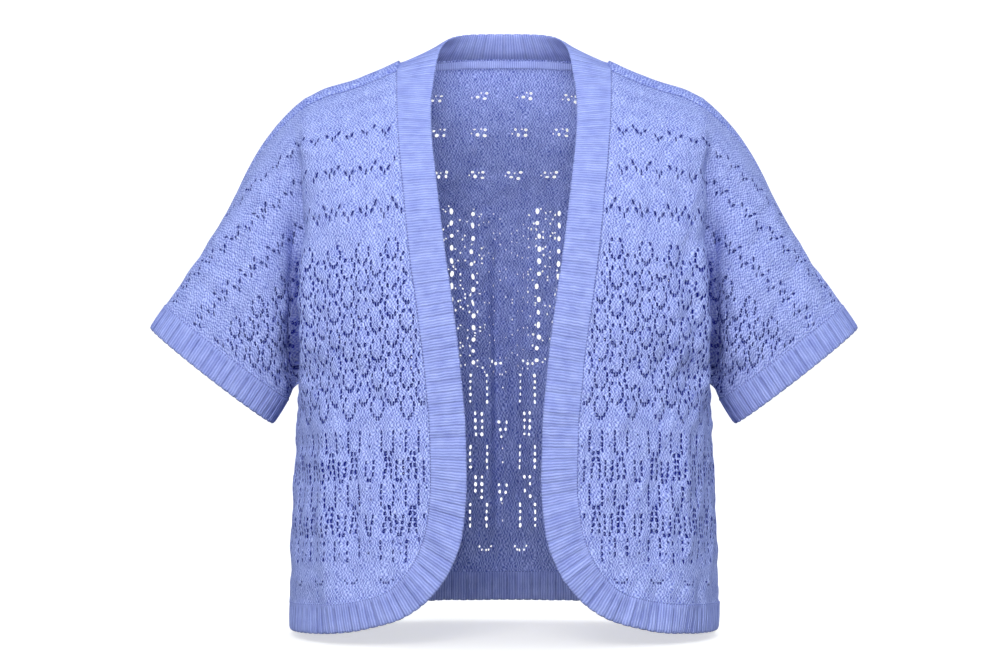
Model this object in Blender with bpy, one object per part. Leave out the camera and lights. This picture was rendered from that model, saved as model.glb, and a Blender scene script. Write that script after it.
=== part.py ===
"""Short-sleeve open-front cardigan in lace knit, filled out as it is worn, in metres, +Z up.

The garment faces -Y. The origin lies midway between the two points where the shoulder seams
meet the neck. Cloth is laid out in two numbers: q runs round the body, 0 at the centre, 1 at the
side and 2 at the cuff seam (minus on the wearer's right), and v runs down it from the shoulder
seam, in metres of cloth. Every piece is a thin closed wall on the surface that these give.
"""

import math

import bpy
import numpy as np
from mathutils import Vector
from mathutils.geometry import delaunay_2d_cdt
from mathutils.kdtree import KDTree

# Cloth
CLOTH = 0.0018
RIB_CLOTH = 0.0022
RIB_RAISE = 0.0009
TAPE_CLOTH = 0.0010
TAPE_ROWS = (0.0018, 0.0095)  # its top and bottom below the neck seam
SEAM_GAP = 0.0003
RIB_PITCH = {"hem": 0.0085, "front": 0.0105, "cuff": 0.0087}
RIB_GROOVE = ((0.0, 1.0), (0.70, 1.0), (0.85, 0.0))  # place in the rib, share of its height

# Where rows of cloth lie, in metres down from the shoulder seam
ARMPIT = 0.340
HEM_SEAM = 0.557
HEM_EDGE = 0.586
YOKE = 0.140  # the back is carried over the shoulder down to here
SQUARENESS = 2.4
VALLEY = 1.08  # the q of the armhole line

NECK_REACH = 0.106
SHOULDER_SEAM = (  # reach from the centre, height
    (0.106, -0.0040),
    (0.130, -0.0145),
    (0.154, -0.0235),
    (0.180, -0.0310),
    (0.200, -0.0410),
)
FRONT_COLUMNS = (
    "cloth", "drop", "share", "sag", "depth", "edge", "valley", "half", "out",
)
FRONT = (
    (0.000, 0.0000, 1.00, 0.0000, 0.0000, 0.0000, 0.0000, 0.2000, 0.008),
    (0.020, 0.0130, 0.85, 0.0000, 0.0155, 0.0145, 0.0140, 0.2000, 0.008),
    (0.045, 0.0310, 0.65, 0.0000, 0.0355, 0.0290, 0.0270, 0.2000, 0.007),
    (0.090, 0.0660, 0.38, 0.0000, 0.0670, 0.0430, 0.0370, 0.1990, 0.004),
    (0.135, 0.1050, 0.32, 0.0000, 0.0910, 0.0480, 0.0370, 0.1975, -0.002),
    (0.180, 0.1470, 0.30, 0.0000, 0.1090, 0.0480, 0.0340, 0.1970, -0.006),
    (0.220, 0.1850, 0.30, 0.0010, 0.1210, 0.0460, 0.0310, 0.1970, -0.007),
    (0.260, 0.2240, 0.25, 0.0030, 0.1290, 0.0430, 0.0280, 0.1975, -0.007),
    (0.300, 0.2630, 0.15, 0.0060, 0.1335, 0.0340, 0.0200, 0.1995, -0.002),
    (0.340, 0.3020, 0.00, 0.0100, 0.1360, 0.0000, 0.0000, 0.2035, 0.006),
    (0.390, 0.3510, 0.00, 0.0100, 0.1370, 0.0000, 0.0000, 0.2060, 0.006),
    (0.450, 0.4110, 0.00, 0.0100, 0.1365, 0.0000, 0.0000, 0.2090, 0.006),
    (0.520, 0.4810, 0.00, 0.0110, 0.1350, 0.0000, 0.0000, 0.2120, 0.006),
    (0.557, 0.5185, 0.00, 0.0120, 0.1340, 0.0000, 0.0000, 0.2130, 0.006),
    (0.586, 0.5470, 0.00, 0.0125, 0.1330, 0.0000, 0.0000, 0.2135, 0.006),
)
BACK_COLUMNS = ("cloth", "drop", "depth", "edge", "valley")
BACK = (
    (0.140, 0.0617, 0.1040, 0.0600, 0.0500),
    (0.180, 0.0995, 0.1130, 0.0620, 0.0500),
    (0.220, 0.1300, 0.1190, 0.0610, 0.0480),
    (0.260, 0.1700, 0.1220, 0.0570, 0.0430),
    (0.300, 0.2110, 0.1230, 0.0450, 0.0300),
    (0.340, 0.2530, 0.1230, 0.0000, 0.0000),
    (0.390, 0.3010, 0.1240, 0.0000, 0.0000),
    (0.450, 0.3760, 0.1260, 0.0000, 0.0000),
    (0.520, 0.4655, 0.1275, 0.0000, 0.0000),
    (0.557, 0.5146, 0.1280, 0.0000, 0.0000),
    (0.586, 0.5436, 0.1285, 0.0000, 0.0000),
)
NECK_COLUMNS = ("reach", "behind", "height", "cloth")
NECK = (  # the seam round the back of the neck
    (0.0000, 0.0900, 0.0175, 0.0500),
    (0.0270, 0.0885, 0.0170, 0.0495),
    (0.0540, 0.0825, 0.0152, 0.0470),
    (0.0780, 0.0700, 0.0125, 0.0420),
    (0.0955, 0.0480, 0.0095, 0.0320),
    (0.1040, 0.0220, 0.0050, 0.0160),
    (0.1060, 0.0000, -0.0040, 0.0000),
)

# How steeply the back leaves its top edge: place behind the shoulder seam, degrees up
TOP_CLIMB = ((0.0, 50.0), (0.022, 14.0), (0.048, -24.0), (0.070, -52.0), (0.090, -70.0))
TOP_SPEED = 1.12

# The ring where a cuff is sewn on, and the cuff's edge: centre, half length, half depth
CUFF_SEAM = {
    "reach": 0.2775, "height": -0.287, "long": 0.0774, "deep": 0.042, "lean": (0.795, 0.607),
}
CUFF_EDGE = {
    "reach": 0.2925, "height": -0.310, "long": 0.0780, "deep": 0.043, "lean": (0.788, 0.615),
}
OVERARM_BEHIND = 0.033  # the overarm seam meets the cuff this far behind its outer corner
ROW_SPREAD = 0.57  # how much closer the first front rows lie at the cuff than the last
SLEEVE_AXIS = (0.575, 0.818)
SHOULDER_FALL = (0.90, 0.76)
SHOULDER_ROUND = 0.19  # rows nearer the shoulder seam than this leave it rounded
SLEEVE_BULGE = 0.009

BAND_COLUMNS = ("seam_x", "seam_z", "edge_x", "edge_z")
FRONT_BAND = (  # from the side seam along the hem, round the corner and up the front
    (0.2130, -0.5345, 0.2135, -0.5605),
    (0.1890, -0.5312, 0.1880, -0.5585),
    (0.1560, -0.5275, 0.1525, -0.5548),
    (0.1310, -0.5222, 0.1245, -0.5485),
    (0.1123, -0.5155, 0.1010, -0.5408),
    (0.0940, -0.4990, 0.0745, -0.5235),
    (0.0800, -0.4760, 0.0520, -0.4950),
    (0.0715, -0.4460, 0.0390, -0.4580),
    (0.0685, -0.4050, 0.0349, -0.4090),
    (0.0695, -0.3600, 0.0360, -0.3580),
    (0.0737, -0.3098, 0.0404, -0.3050),
    (0.0800, -0.2560, 0.0468, -0.2500),
    (0.0882, -0.2000, 0.0547, -0.1965),
    (0.0942, -0.1450, 0.0618, -0.1420),
    (0.0990, -0.1010, 0.0670, -0.0995),
    (0.1022, -0.0690, 0.0700, -0.0700),
    (0.1045, -0.0370, 0.0712, -0.0400),
    (0.1060, -0.0040, 0.0672, 0.0030),
)
# Over these heights the band's free edge leaves the chest's form for a straight way to the neck
BAND_LEAN = {"from": -0.075, "to": -0.040, "top": 0.003, "ahead": 0.008, "slope": 0.75}
NECK_EDGE = (  # the neck band's free edge, from the shoulder to the centre back: x, y, z
    (0.0672, -0.0080, 0.0030),
    (0.0645, 0.0070, 0.0165),
    (0.0585, 0.0300, 0.0290),
    (0.0490, 0.0520, 0.0365),
    (0.0360, 0.0630, 0.0397),
    (0.0180, 0.0685, 0.0408),
    (0.0000, 0.0700, 0.0412),
)

FOLDS = (  # panel, centre x, half width, top, bottom, depth out of the body
    ("front", -0.162, 0.021, -0.26, -0.60, 0.0045),
    ("front", 0.165, 0.021, -0.12, -0.60, 0.0045),
    ("back", 0.002, 0.026, -0.09, -0.58, 0.0060),
    ("back", 0.112, 0.026, -0.22, -0.60, 0.0040),
    ("back", -0.120, 0.026, -0.20, -0.60, 0.0040),
)
FOLD_FADES = (0.12, 0.10)  # over these heights, at the top and at the bottom

# Lace: the gaps of over 4 mm, as small diamonds
ARROW_GAP = (0.0060, 0.0050)  # across, down
CELL_GAP = (0.0046, 0.0056)
ARROW_ROWS = (0.090, 0.135, 0.180)
ARROW_PITCH = {"front": 0.033, "back": 0.040}
ARROW_START = {"front": 0.130, "back": 0.020}  # from the centre
ARROW_END = 0.012  # they stop this far from the cuff or the side
HEM_ARROW_ROW = 0.538
HEM_ARROW_START = {"front": 0.150, "back": 0.020}
CELL_ROWS = {"first": 0.234, "pitch": 0.0290, "count": 6}
CELL_PITCH = 0.026
CELL_START = {"front": 0.112, "back": 0.013}
CELL_REACH = {"front": 0.235, "back": 0.112}

# How the walls are divided
BODY_SCALE = 0.27  # metres of cloth in one q on the body, and on the sleeve
SLEEVE_SCALE = 0.16
GRID = 0.028
EDGE_STEP = 0.016
GRID_DOWN = (0.011, 0.125, 0.018)  # the first row, where wider rows begin, and how far apart
GRID_ROOM = {"edge": 0.0075, "gap": 0.0085, "fold": 0.012}  # how near grid corners come
FOLD_Q = (0.80, 0.90, 0.96, 1.0, 1.08, 1.2)  # kept as lines of corners
UNDERARM_Q = np.array([1.0, 1.08, 1.38, 1.69, 2.0])
SHOULDER_Q = np.array([
    0.40, 0.52, 0.64, 0.76, 0.87, 0.94, 1.0, 1.08, 1.16, 1.26, 1.38, 1.50, 1.62, 1.74, 1.87, 2.0,
])
SHARP = 50.0  # degrees

COLOURS = {
    "back": (0.30, 0.36, 0.74),
    "front_left": (0.34, 0.41, 0.80),
    "front_right": (0.34, 0.41, 0.80),
    "band_left": (0.38, 0.45, 0.84),
    "band_right": (0.38, 0.45, 0.84),
    "back_hem": (0.32, 0.38, 0.77),
    "cuff_left": (0.38, 0.45, 0.84),
    "cuff_right": (0.38, 0.45, 0.84),
    "neck_tape": (0.36, 0.43, 0.82),
}


def smooth_curve(knots, values, at):
    """A smooth curve through the knots that never overshoots them."""
    knots = np.asarray(knots, float)
    values = np.asarray(values, float)
    at = np.clip(at, knots[0], knots[-1])
    step = np.diff(knots)
    slope = np.diff(values) / step
    tangent = np.zeros(len(knots))
    tangent[0], tangent[-1] = slope[0], slope[-1]
    same = slope[:-1] * slope[1:] > 0
    before, after = 2 * step[1:] + step[:-1], step[1:] + 2 * step[:-1]
    safe_a = np.where(same, slope[:-1], 1.0)
    safe_b = np.where(same, slope[1:], 1.0)
    mean = (before + after) / (before / safe_a + after / safe_b)
    tangent[1:-1] = np.where(same, mean, 0.0)
    i = np.clip(np.searchsorted(knots, at, side="right") - 1, 0, len(knots) - 2)
    t = (at - knots[i]) / step[i]
    a, b = values[i], values[i + 1]
    ta, tb = tangent[i] * step[i], tangent[i + 1] * step[i]
    return (
        (2 * t**3 - 3 * t**2 + 1) * a
        + (t**3 - 2 * t**2 + t) * ta
        + (3 * t**2 - 2 * t**3) * b
        + (t**3 - t**2) * tb
    )


def read_table(rows, columns, name, at):
    return smooth_curve([row[0] for row in rows], [row[columns.index(name)] for row in rows], at)


def front_row(name, v):
    return read_table(FRONT, FRONT_COLUMNS, name, v)


def back_row(name, v):
    return read_table(BACK, BACK_COLUMNS, name, v)


def smoothstep(x):
    x = np.clip(x, 0.0, 1.0)
    return x * x * (3 - 2 * x)


def shoulder_height(x):
    return smooth_curve([p[0] for p in SHOULDER_SEAM], [p[1] for p in SHOULDER_SEAM], x)


def hermite(start, end, leave, arrive, t):
    t = t[..., None]
    return (
        (2 * t**3 - 3 * t**2 + 1) * start
        + (t**3 - 2 * t**2 + t) * leave
        + (3 * t**2 - 2 * t**3) * end
        + (t**3 - t**2) * arrive
    )


def round_plan(q, half, edge, depth):
    """x and depth at q on the rounded plan of a body row: the superellipse's own angle."""
    angle = np.clip(q, 0, 1) * math.pi / 2
    x = half * np.sin(angle) ** (2 / SQUARENESS)
    y = edge + (depth - edge) * np.cos(angle) ** (2 / SQUARENESS)
    return x, y


def past_side(q, x, y, z, v, valley):
    """Carries a row from the body's side on to the armhole line."""
    t = np.clip((q - 1) / (VALLEY - 1), 0, 1)
    out = front_row("out", v)
    x = x + out * t
    y = y + (valley - y) * t * (q > 1)
    z = z - 0.85 * np.maximum(out, 0) * t
    return x, y, z


def front_height(x, v):
    seam = shoulder_height(NECK_REACH)
    sag = front_row("sag", v) * (x / front_row("half", v)) ** 4
    return seam - front_row("drop", v) + front_row("share", v) * (shoulder_height(x) - seam) - sag


def front_body(q, v):
    half = front_row("half", v)
    x, y = round_plan(q, half, front_row("edge", v), front_row("depth", v))
    z = front_height(x, v)
    x, y, z = past_side(q, x, y, z, v, front_row("valley", v))
    return np.stack([x, -y, z], -1)


def back_below_yoke(q, v):
    half = front_row("half", v)
    x, y = round_plan(q, half, back_row("edge", v), back_row("depth", v))
    toward_side = smoothstep((x - 0.06) / (half - 0.06))
    seam = shoulder_height(NECK_REACH)
    drop = back_row("drop", v) + (front_row("drop", v) - back_row("drop", v)) * toward_side
    z = seam - drop + front_row("share", v) * (shoulder_height(x) - seam)
    z = z - front_row("sag", v) * (x / half) ** 4
    x, y, z = past_side(q, x, y, z, v, back_row("valley", v))
    return np.stack([x, y, z], -1)


def neck_at(name, x):
    return read_table(NECK, NECK_COLUMNS, name, np.clip(x, 0, NECK_REACH))


def top_edge(q):
    """The back's top edge: round the neck, then along the shoulder seam; with its v."""
    x, y = round_plan(q, front_row("half", 0.0), 0.0, 0.0)
    z = shoulder_height(x)
    x, y, z = past_side(q, x, y, z, np.zeros_like(q), 0.0)
    inside = x < NECK_REACH
    y = np.where(inside, neck_at("behind", x), 0.0)
    z = np.where(inside, neck_at("height", x), z)
    v = np.where(inside, neck_at("cloth", x), 0.0)
    return np.stack([x, y, z], -1), v


def back_body(q, v):
    low = back_below_yoke(q, np.maximum(v, YOKE))
    start, start_v = top_edge(q)
    end = back_below_yoke(q, np.full_like(v, YOKE))
    length = YOKE - start_v
    arrive = (back_below_yoke(q, np.full_like(v, YOKE + 0.002)) - end) / 0.002
    climb = np.radians(np.interp(start[..., 1], *zip(*TOP_CLIMB)))
    leave = np.stack([np.zeros_like(q), np.cos(climb), np.sin(climb)], -1) * TOP_SPEED
    t = np.clip((v - start_v) / length, 0, 1)
    over = hermite(start, end, leave * length[..., None], arrive * length[..., None], t)
    return np.where((v < YOKE)[..., None], over, low)


def ellipse_angle(ring, arc):
    """The angle round the ring at an arc length from its outer corner, forward of it positive."""
    angle = np.linspace(-math.pi, math.pi, 721)
    x, y = ring["long"] * np.cos(angle), ring["deep"] * np.sin(angle)
    length = np.concatenate([[0], np.cumsum(np.hypot(np.diff(x), np.diff(y)))])
    length -= length[-1] / 2
    return np.interp(arc, length, angle), length[-1]


def ring_point(ring, angle):
    along = ring["long"] * np.cos(angle)
    return np.stack(
        [
            ring["reach"] + along * ring["lean"][0],
            -ring["deep"] * np.sin(angle),
            ring["height"] + along * ring["lean"][1],
        ],
        -1,
    )


def cuff_arc(panel, v):
    half_round = ellipse_angle(CUFF_SEAM, 0.0)[1]
    w = np.clip(v / ARMPIT, 0, 1)
    if panel == "front":
        spread = ROW_SPREAD * w + (1 - ROW_SPREAD) * w**2
        return -OVERARM_BEHIND + (half_round + OVERARM_BEHIND) * spread
    return -OVERARM_BEHIND - (half_round - OVERARM_BEHIND) * w


def sleeve(panel, q, v):
    body = front_body if panel == "front" else back_body
    start = body(np.full_like(q, VALLEY), v)
    end = ring_point(CUFF_SEAM, ellipse_angle(CUFF_SEAM, cuff_arc(panel, v))[0])
    reach = np.linalg.norm(end - start, axis=-1, keepdims=True)
    straight = end - start
    fall = np.array([SHOULDER_FALL[0], 0, -SHOULDER_FALL[1]]) * reach
    axis = np.array([SLEEVE_AXIS[0], 0, -SLEEVE_AXIS[1]]) * reach
    top = smoothstep(1 - v / SHOULDER_ROUND)[..., None]
    t = np.clip((q - VALLEY) / (2 - VALLEY), 0, 1)
    points = hermite(start, end, straight + (fall - straight) * top, 0.5 * (straight + axis), t)
    side = -1.0 if panel == "front" else 1.0
    w = np.clip(v / ARMPIT, 0, 1)
    points[..., 1] += side * SLEEVE_BULGE * np.sin(math.pi * t) * np.sin(math.pi * w)
    return points


def cloth_point(panel, q, v):
    """The outer face of the front or back at q and v."""
    q, v = np.broadcast_arrays(np.asarray(q, float), np.asarray(v, float))
    hand = np.where(q < 0, -1.0, 1.0)
    far = np.abs(q)
    body = (front_body if panel == "front" else back_body)(np.minimum(far, VALLEY), v)
    arm = sleeve(panel, far, np.minimum(v, ARMPIT))
    points = np.where((far > VALLEY)[..., None], arm, body)
    points[..., 0] *= hand
    return folded(panel, points, far)


def folded(panel, points, far):
    """Adds the soft upright folds."""
    out = -1.0 if panel == "front" else 1.0
    x, z = points[..., 0], points[..., 2]
    on_body = smoothstep((1.0 - far) / 0.1)
    for which, centre, width, top, bottom, depth in FOLDS:
        if which == panel:
            middle = smoothstep((top - z) / FOLD_FADES[0]) * smoothstep((z - bottom) / FOLD_FADES[1])
            shape = np.exp(-(((x - centre) / width) ** 2))
            points[..., 1] += out * depth * middle * shape * on_body
    return points


def cloth_normal(panel, q, v):
    step = 1e-4
    q, v = np.broadcast_arrays(np.asarray(q, float), np.asarray(v, float))
    across = cloth_point(panel, q + step, v) - cloth_point(panel, q - step, v)
    down = cloth_point(panel, q, v + step) - cloth_point(panel, q, v - step)
    normal = np.cross(down, across) if panel == "front" else np.cross(across, down)
    length = np.linalg.norm(normal, axis=-1, keepdims=True)
    return normal / np.maximum(length, 1e-12)


def cloth_place(panel, x, z):
    """The q and v of the front at a given x and height, both on the left hand."""
    v = np.linspace(0.0, HEM_EDGE, 2001)
    v_at = np.array([np.interp(-height, -front_height(reach, v), v) for reach, height in zip(x, z)])
    half = front_row("half", v_at)
    ratio = np.clip(np.asarray(x) / half, 0, 1)
    return np.arcsin(ratio ** (SQUARENESS / 2)) * 2 / math.pi, v_at


def spaced(start, end, step):
    count = max(2, int(round(abs(end - start) / step)) + 1)
    return np.linspace(start, end, count)


def rib_starts(points, pitch):
    """Places along a line of points, as shares of its row numbers, one rib apart."""
    step = np.linalg.norm(np.diff(points, axis=0), axis=1)
    turns = np.concatenate([[0], np.cumsum(step / (0.5 * (pitch[1:] + pitch[:-1])))])
    count = int(round(turns[-1]))
    return np.interp(np.linspace(0, turns[-1], count + 1), turns, np.linspace(0, 1, len(points)))


def band_lines():
    """The left band's rib starts: seam places on the front, seam points, and free edge points."""
    chord = np.array([[row[0] + row[2], row[1] + row[3]] for row in FRONT_BAND]) / 2
    knots = np.concatenate([[0], np.cumsum(np.linalg.norm(np.diff(chord, axis=0), axis=1))])
    knots /= knots[-1]
    fine = np.linspace(0, 1, 600)
    columns = {
        name: smooth_curve(knots, [row[i] for row in FRONT_BAND], fine)
        for i, name in enumerate(BAND_COLUMNS)
    }
    q, v = cloth_place("front", columns["seam_x"], columns["seam_z"])
    q[0], v[0] = 1.0, HEM_SEAM
    q[-1], v[-1] = arc_q(NECK_REACH), 0.0
    seam = cloth_point("front", q, v)
    edge_q, edge_v = cloth_place("front", columns["edge_x"], columns["edge_z"])
    edge = cloth_point("front", edge_q, edge_v)
    edge[:, 0], edge[:, 2] = columns["edge_x"], columns["edge_z"]
    leave = smoothstep((edge[:, 2] - BAND_LEAN["from"]) / (BAND_LEAN["to"] - BAND_LEAN["from"]))
    straight = -BAND_LEAN["ahead"] - BAND_LEAN["slope"] * (BAND_LEAN["top"] - edge[:, 2])
    edge[:, 1] += (straight - edge[:, 1]) * leave
    hem_share = smoothstep((-0.43 - seam[:, 2]) / 0.08)
    pitch = RIB_PITCH["front"] + (RIB_PITCH["hem"] - RIB_PITCH["front"]) * hem_share
    starts = rib_starts((seam + edge) / 2, pitch)
    at = [np.interp(starts, fine, line) for line in (q, v)]
    front_edge = np.stack([np.interp(starts, fine, edge[:, i]) for i in range(3)], -1)
    reach = np.linspace(NECK_REACH, 0, 400)
    neck = np.stack([reach, neck_at("behind", reach), neck_at("height", reach)], -1)
    neck_pitch = np.full(len(reach), RIB_PITCH["front"])
    neck_starts = rib_starts(neck, neck_pitch)[1:]
    length = np.concatenate([[0], np.cumsum(np.linalg.norm(np.diff(neck, axis=0), axis=1))])
    reach_at = np.interp(neck_starts, np.linspace(0, 1, len(reach)), reach)
    share = np.interp(neck_starts, np.linspace(0, 1, len(reach)), length / length[-1])
    rim = np.array(NECK_EDGE)
    rim_knots = np.concatenate([[0], np.cumsum(np.linalg.norm(np.diff(rim, axis=0), axis=1))])
    rim_knots /= rim_knots[-1]
    neck_edge = np.stack([smooth_curve(rim_knots, rim[:, i], share) for i in range(3)], -1)
    return {
        "front_q": at[0],
        "front_v": at[1],
        "front_seam": cloth_point("front", at[0], at[1]),
        "front_edge": front_edge,
        "neck_q": arc_q(reach_at),
        "neck_v": neck_at("cloth", reach_at),
        "neck_edge": neck_edge,
    }


def arc_q(reach):
    """The q at the top row of a reach from the centre."""
    half = front_row("half", 0.0)
    return np.arcsin((np.asarray(reach) / half) ** (SQUARENESS / 2)) * 2 / math.pi


def cuff_rib_arcs():
    round_length = 2 * ellipse_angle(CUFF_SEAM, 0.0)[1]
    half = round_length / 2
    fore = spaced(-OVERARM_BEHIND, half, RIB_PITCH["cuff"])
    aft = spaced(-OVERARM_BEHIND, -half, RIB_PITCH["cuff"])
    return fore, aft


def rows_at_cuff(panel, arcs):
    v = np.linspace(0, ARMPIT, 801)
    along = cuff_arc(panel, v)
    return np.interp(arcs, along, v) if along[-1] > along[0] else np.interp(-arcs, -along, v)


def join_lines(*lines):
    """One closed outline from lines that each start where the last one ends."""
    points = []
    for line in lines:
        points.extend(line[:-1])
    return np.array(points)


def sleeve_outline(panel, hem_side):
    """The cuff, underarm and side lines of a panel, from the overarm seam's cuff end down."""
    fore, aft = cuff_rib_arcs()
    rows = rows_at_cuff(panel, fore if panel == "front" else aft)
    cuff = [(2.0, v) for v in rows]
    underarm = [(q, ARMPIT) for q in UNDERARM_Q[::-1]]
    side = [(1.0, v) for v in spaced(ARMPIT, hem_side, EDGE_STEP)]
    return cuff, underarm, side


def front_outline(band):
    neck_q = band["front_q"][-1]
    shoulder = [(q, 0.0) for q in np.concatenate([[neck_q], SHOULDER_Q])]
    cuff, underarm, side = sleeve_outline("front", HEM_SEAM)
    seam = list(zip(band["front_q"], band["front_v"]))
    return join_lines(shoulder, cuff, underarm, side, seam)


def back_hem_q():
    q = np.linspace(0, 1, 400)
    line = cloth_point("back", q, np.full_like(q, HEM_SEAM))
    starts = rib_starts(line, np.full(len(q), RIB_PITCH["hem"]))
    return np.interp(starts, np.linspace(0, 1, len(q)), q)


def back_outline(band):
    neck = list(zip(band["neck_q"][::-1], band["neck_v"][::-1]))
    neck.append((band["front_q"][-1], 0.0))
    shoulder = [(q, 0.0) for q in np.concatenate([[neck[-1][0]], SHOULDER_Q])]
    cuff, underarm, side = sleeve_outline("back", HEM_SEAM)
    hem = [(q, HEM_SEAM) for q in back_hem_q()[::-1]]
    half = neck[:-1] + shoulder[:-1] + cuff[:-1] + underarm[:-1] + side[:-1] + hem
    other = [(-q, v) for q, v in half[::-1][1:-1]]
    return np.array(half + other)


def to_plane(places):
    """q and v laid flat in metres, for dividing into triangles."""
    q = places[:, 0]
    far = np.abs(q)
    x = np.minimum(far, 1) * BODY_SCALE + np.maximum(far - 1, 0) * SLEEVE_SCALE
    return np.stack([np.sign(q) * x, places[:, 1]], -1)


def from_plane(flat):
    far = np.abs(flat[:, 0])
    q = np.minimum(far / BODY_SCALE, 1) + np.maximum(far - BODY_SCALE, 0) / SLEEVE_SCALE
    return np.stack([np.sign(flat[:, 0]) * q, flat[:, 1]], -1)


def arc_places(panel, v, arcs, limit=2.0):
    """The q of each distance along the row v from the centre."""
    q = np.linspace(0, limit, 500)
    line = cloth_point(panel, q, np.full_like(q, v))
    length = np.concatenate([[0], np.cumsum(np.linalg.norm(np.diff(line, axis=0), axis=1))])
    return np.interp(arcs, length, q), length[-1]


def gap_centres(panel):
    """Arc and row of each gap on one hand of a panel, with its size."""
    centres = []
    rows = [(row, ARROW_START[panel], 2.0) for row in ARROW_ROWS]
    rows.append((HEM_ARROW_ROW, HEM_ARROW_START[panel], 1.0))
    for row, start, last_q in rows:
        end = arc_places(panel, row, 0.0, last_q)[1] - ARROW_END
        centres += [(arc, row, ARROW_GAP) for arc in np.arange(start, end, ARROW_PITCH[panel])]
    for i in range(CELL_ROWS["count"]):
        row = CELL_ROWS["first"] + i * CELL_ROWS["pitch"]
        shift = 0.5 * CELL_PITCH * (i % 2)
        arcs = np.arange(CELL_START[panel] + shift, CELL_REACH[panel], CELL_PITCH)
        centres += [(arc, row, CELL_GAP) for arc in arcs]
    return centres


def gap_loops(panel, hands):
    loops = []
    for arc, row, (wide, high) in gap_centres(panel):
        corners = [
            (arc_places(panel, row, arc - wide / 2)[0], row),
            (arc_places(panel, row + high / 2, arc)[0], row + high / 2),
            (arc_places(panel, row, arc + wide / 2)[0], row),
            (arc_places(panel, row - high / 2, arc)[0], row - high / 2),
        ]
        for hand in hands:
            loops.append(np.array([(hand * q, v) for q, v in corners]))
    return loops


def inside_outline(points, outline):
    """Which flat points lie inside a closed flat outline."""
    x, y = points[:, 0:1], points[:, 1:2]
    x0, y0 = outline[:, 0], outline[:, 1]
    x1, y1 = np.roll(x0, -1), np.roll(y0, -1)
    rise = np.where(y1 == y0, 1e-12, y1 - y0)
    crosses = ((y0 > y) != (y1 > y)) & (x < (x1 - x0) * (y - y0) / rise + x0)
    return crosses.sum(1) % 2 == 1


def clear_of(points, others, room):
    near = np.array([np.min(np.hypot(*(others - p).T)) for p in points])
    return points[near > room]


def triangulated(outline, loops, row):
    """Divides a flat outline with gaps into triangles: places and corner numbers.

    The points of one more row, which the neck tape is made from, are kept as corners.
    """
    edge = to_plane(outline)
    gaps = [to_plane(loop) for loop in loops]
    low, high = edge.min(0), edge.max(0)
    fold_x = to_plane(np.array([(side * q, 0.0) for side in (-1, 1) for q in FOLD_Q]))[:, 0]
    steady_x = np.arange(math.floor(low[0] / GRID), math.ceil(high[0] / GRID) + 1) * GRID
    steady_x = steady_x[[np.min(np.abs(fold_x - x)) > GRID_ROOM["fold"] for x in steady_x]]
    across = np.concatenate([steady_x, fold_x])
    first, wider, step = GRID_DOWN
    down = np.concatenate([np.arange(first, wider - 0.3 * step, step), np.arange(wider, high[1], GRID)])
    grid = np.array([(x, y) for x in across for y in down])
    grid = grid[inside_outline(grid, edge)]
    grid = clear_of(grid, edge, GRID_ROOM["edge"])
    gap_points = np.concatenate(gaps)
    grid = clear_of(grid, gap_points, GRID_ROOM["gap"])
    if len(row):
        grid = clear_of(grid, to_plane(row), GRID_ROOM["gap"])
        grid = np.concatenate([grid, to_plane(row)])
    everything = np.concatenate([edge, gap_points, grid])
    links = [(i, (i + 1) % len(edge)) for i in range(len(edge))]
    first = len(edge)
    for gap in gaps:
        links += [(first + i, first + (i + 1) % len(gap)) for i in range(len(gap))]
        first += len(gap)
    flat, _, faces, origin, _, _ = delaunay_2d_cdt(
        [Vector(p) for p in everything], links, [], 0, 1e-7
    )
    if len(flat) != len(everything):
        raise ValueError("the outline of a panel crosses itself or a gap")
    order = [sources[0] for sources in origin]
    faces = np.array([[order[i] for i in face] for face in faces])
    middle = everything[faces].mean(1)
    keep = inside_outline(middle, edge)
    for gap in gaps:
        keep &= ~inside_outline(middle, gap)
    places = np.concatenate([outline, np.concatenate(loops), from_plane(grid)])
    return places, faces[keep]


def panel_shell(panel, outline, loops, row=()):
    """Outer face of a front or back: points, normals and triangles that face outward."""
    places, faces = triangulated(outline, loops, row)
    points = cloth_point(panel, places[:, 0], places[:, 1])
    normals = cloth_normal(panel, places[:, 0], places[:, 1])
    used = np.unique(faces)
    renumber = np.full(len(points), -1)
    renumber[used] = np.arange(len(used))
    points, normals, faces = points[used], normals[used], renumber[faces]
    first, second, third = (points[faces[:, i]] for i in range(3))
    facing = np.cross(second - first, third - first)
    if (facing * normals[faces].mean(1)).sum() < 0:
        faces = faces[:, ::-1]
    return {"points": points, "normals": normals, "faces": faces}


def strip_shell(seam, edge, closed):
    """A ribbed strip's rib starts, with normals from its two lines."""
    ends = np.stack([seam, edge], 1)
    if closed:
        along = np.roll(ends, -1, 0) - np.roll(ends, 1, 0)
    else:
        along = np.gradient(ends, axis=0)
    across = (edge - seam)[:, None, :]
    normals = np.cross(along, np.broadcast_to(across, along.shape))
    normals /= np.linalg.norm(normals, axis=-1, keepdims=True)
    return {"points": ends, "normals": normals, "closed": closed}


def faced_out(strip, away_from):
    """Turns a strip's normals away from a point or a line of points."""
    outward = strip["points"] - away_from
    if (outward * strip["normals"]).sum() < 0:
        strip["normals"] *= -1
        strip["flipped"] = True
    else:
        strip["flipped"] = False
    return strip


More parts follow.
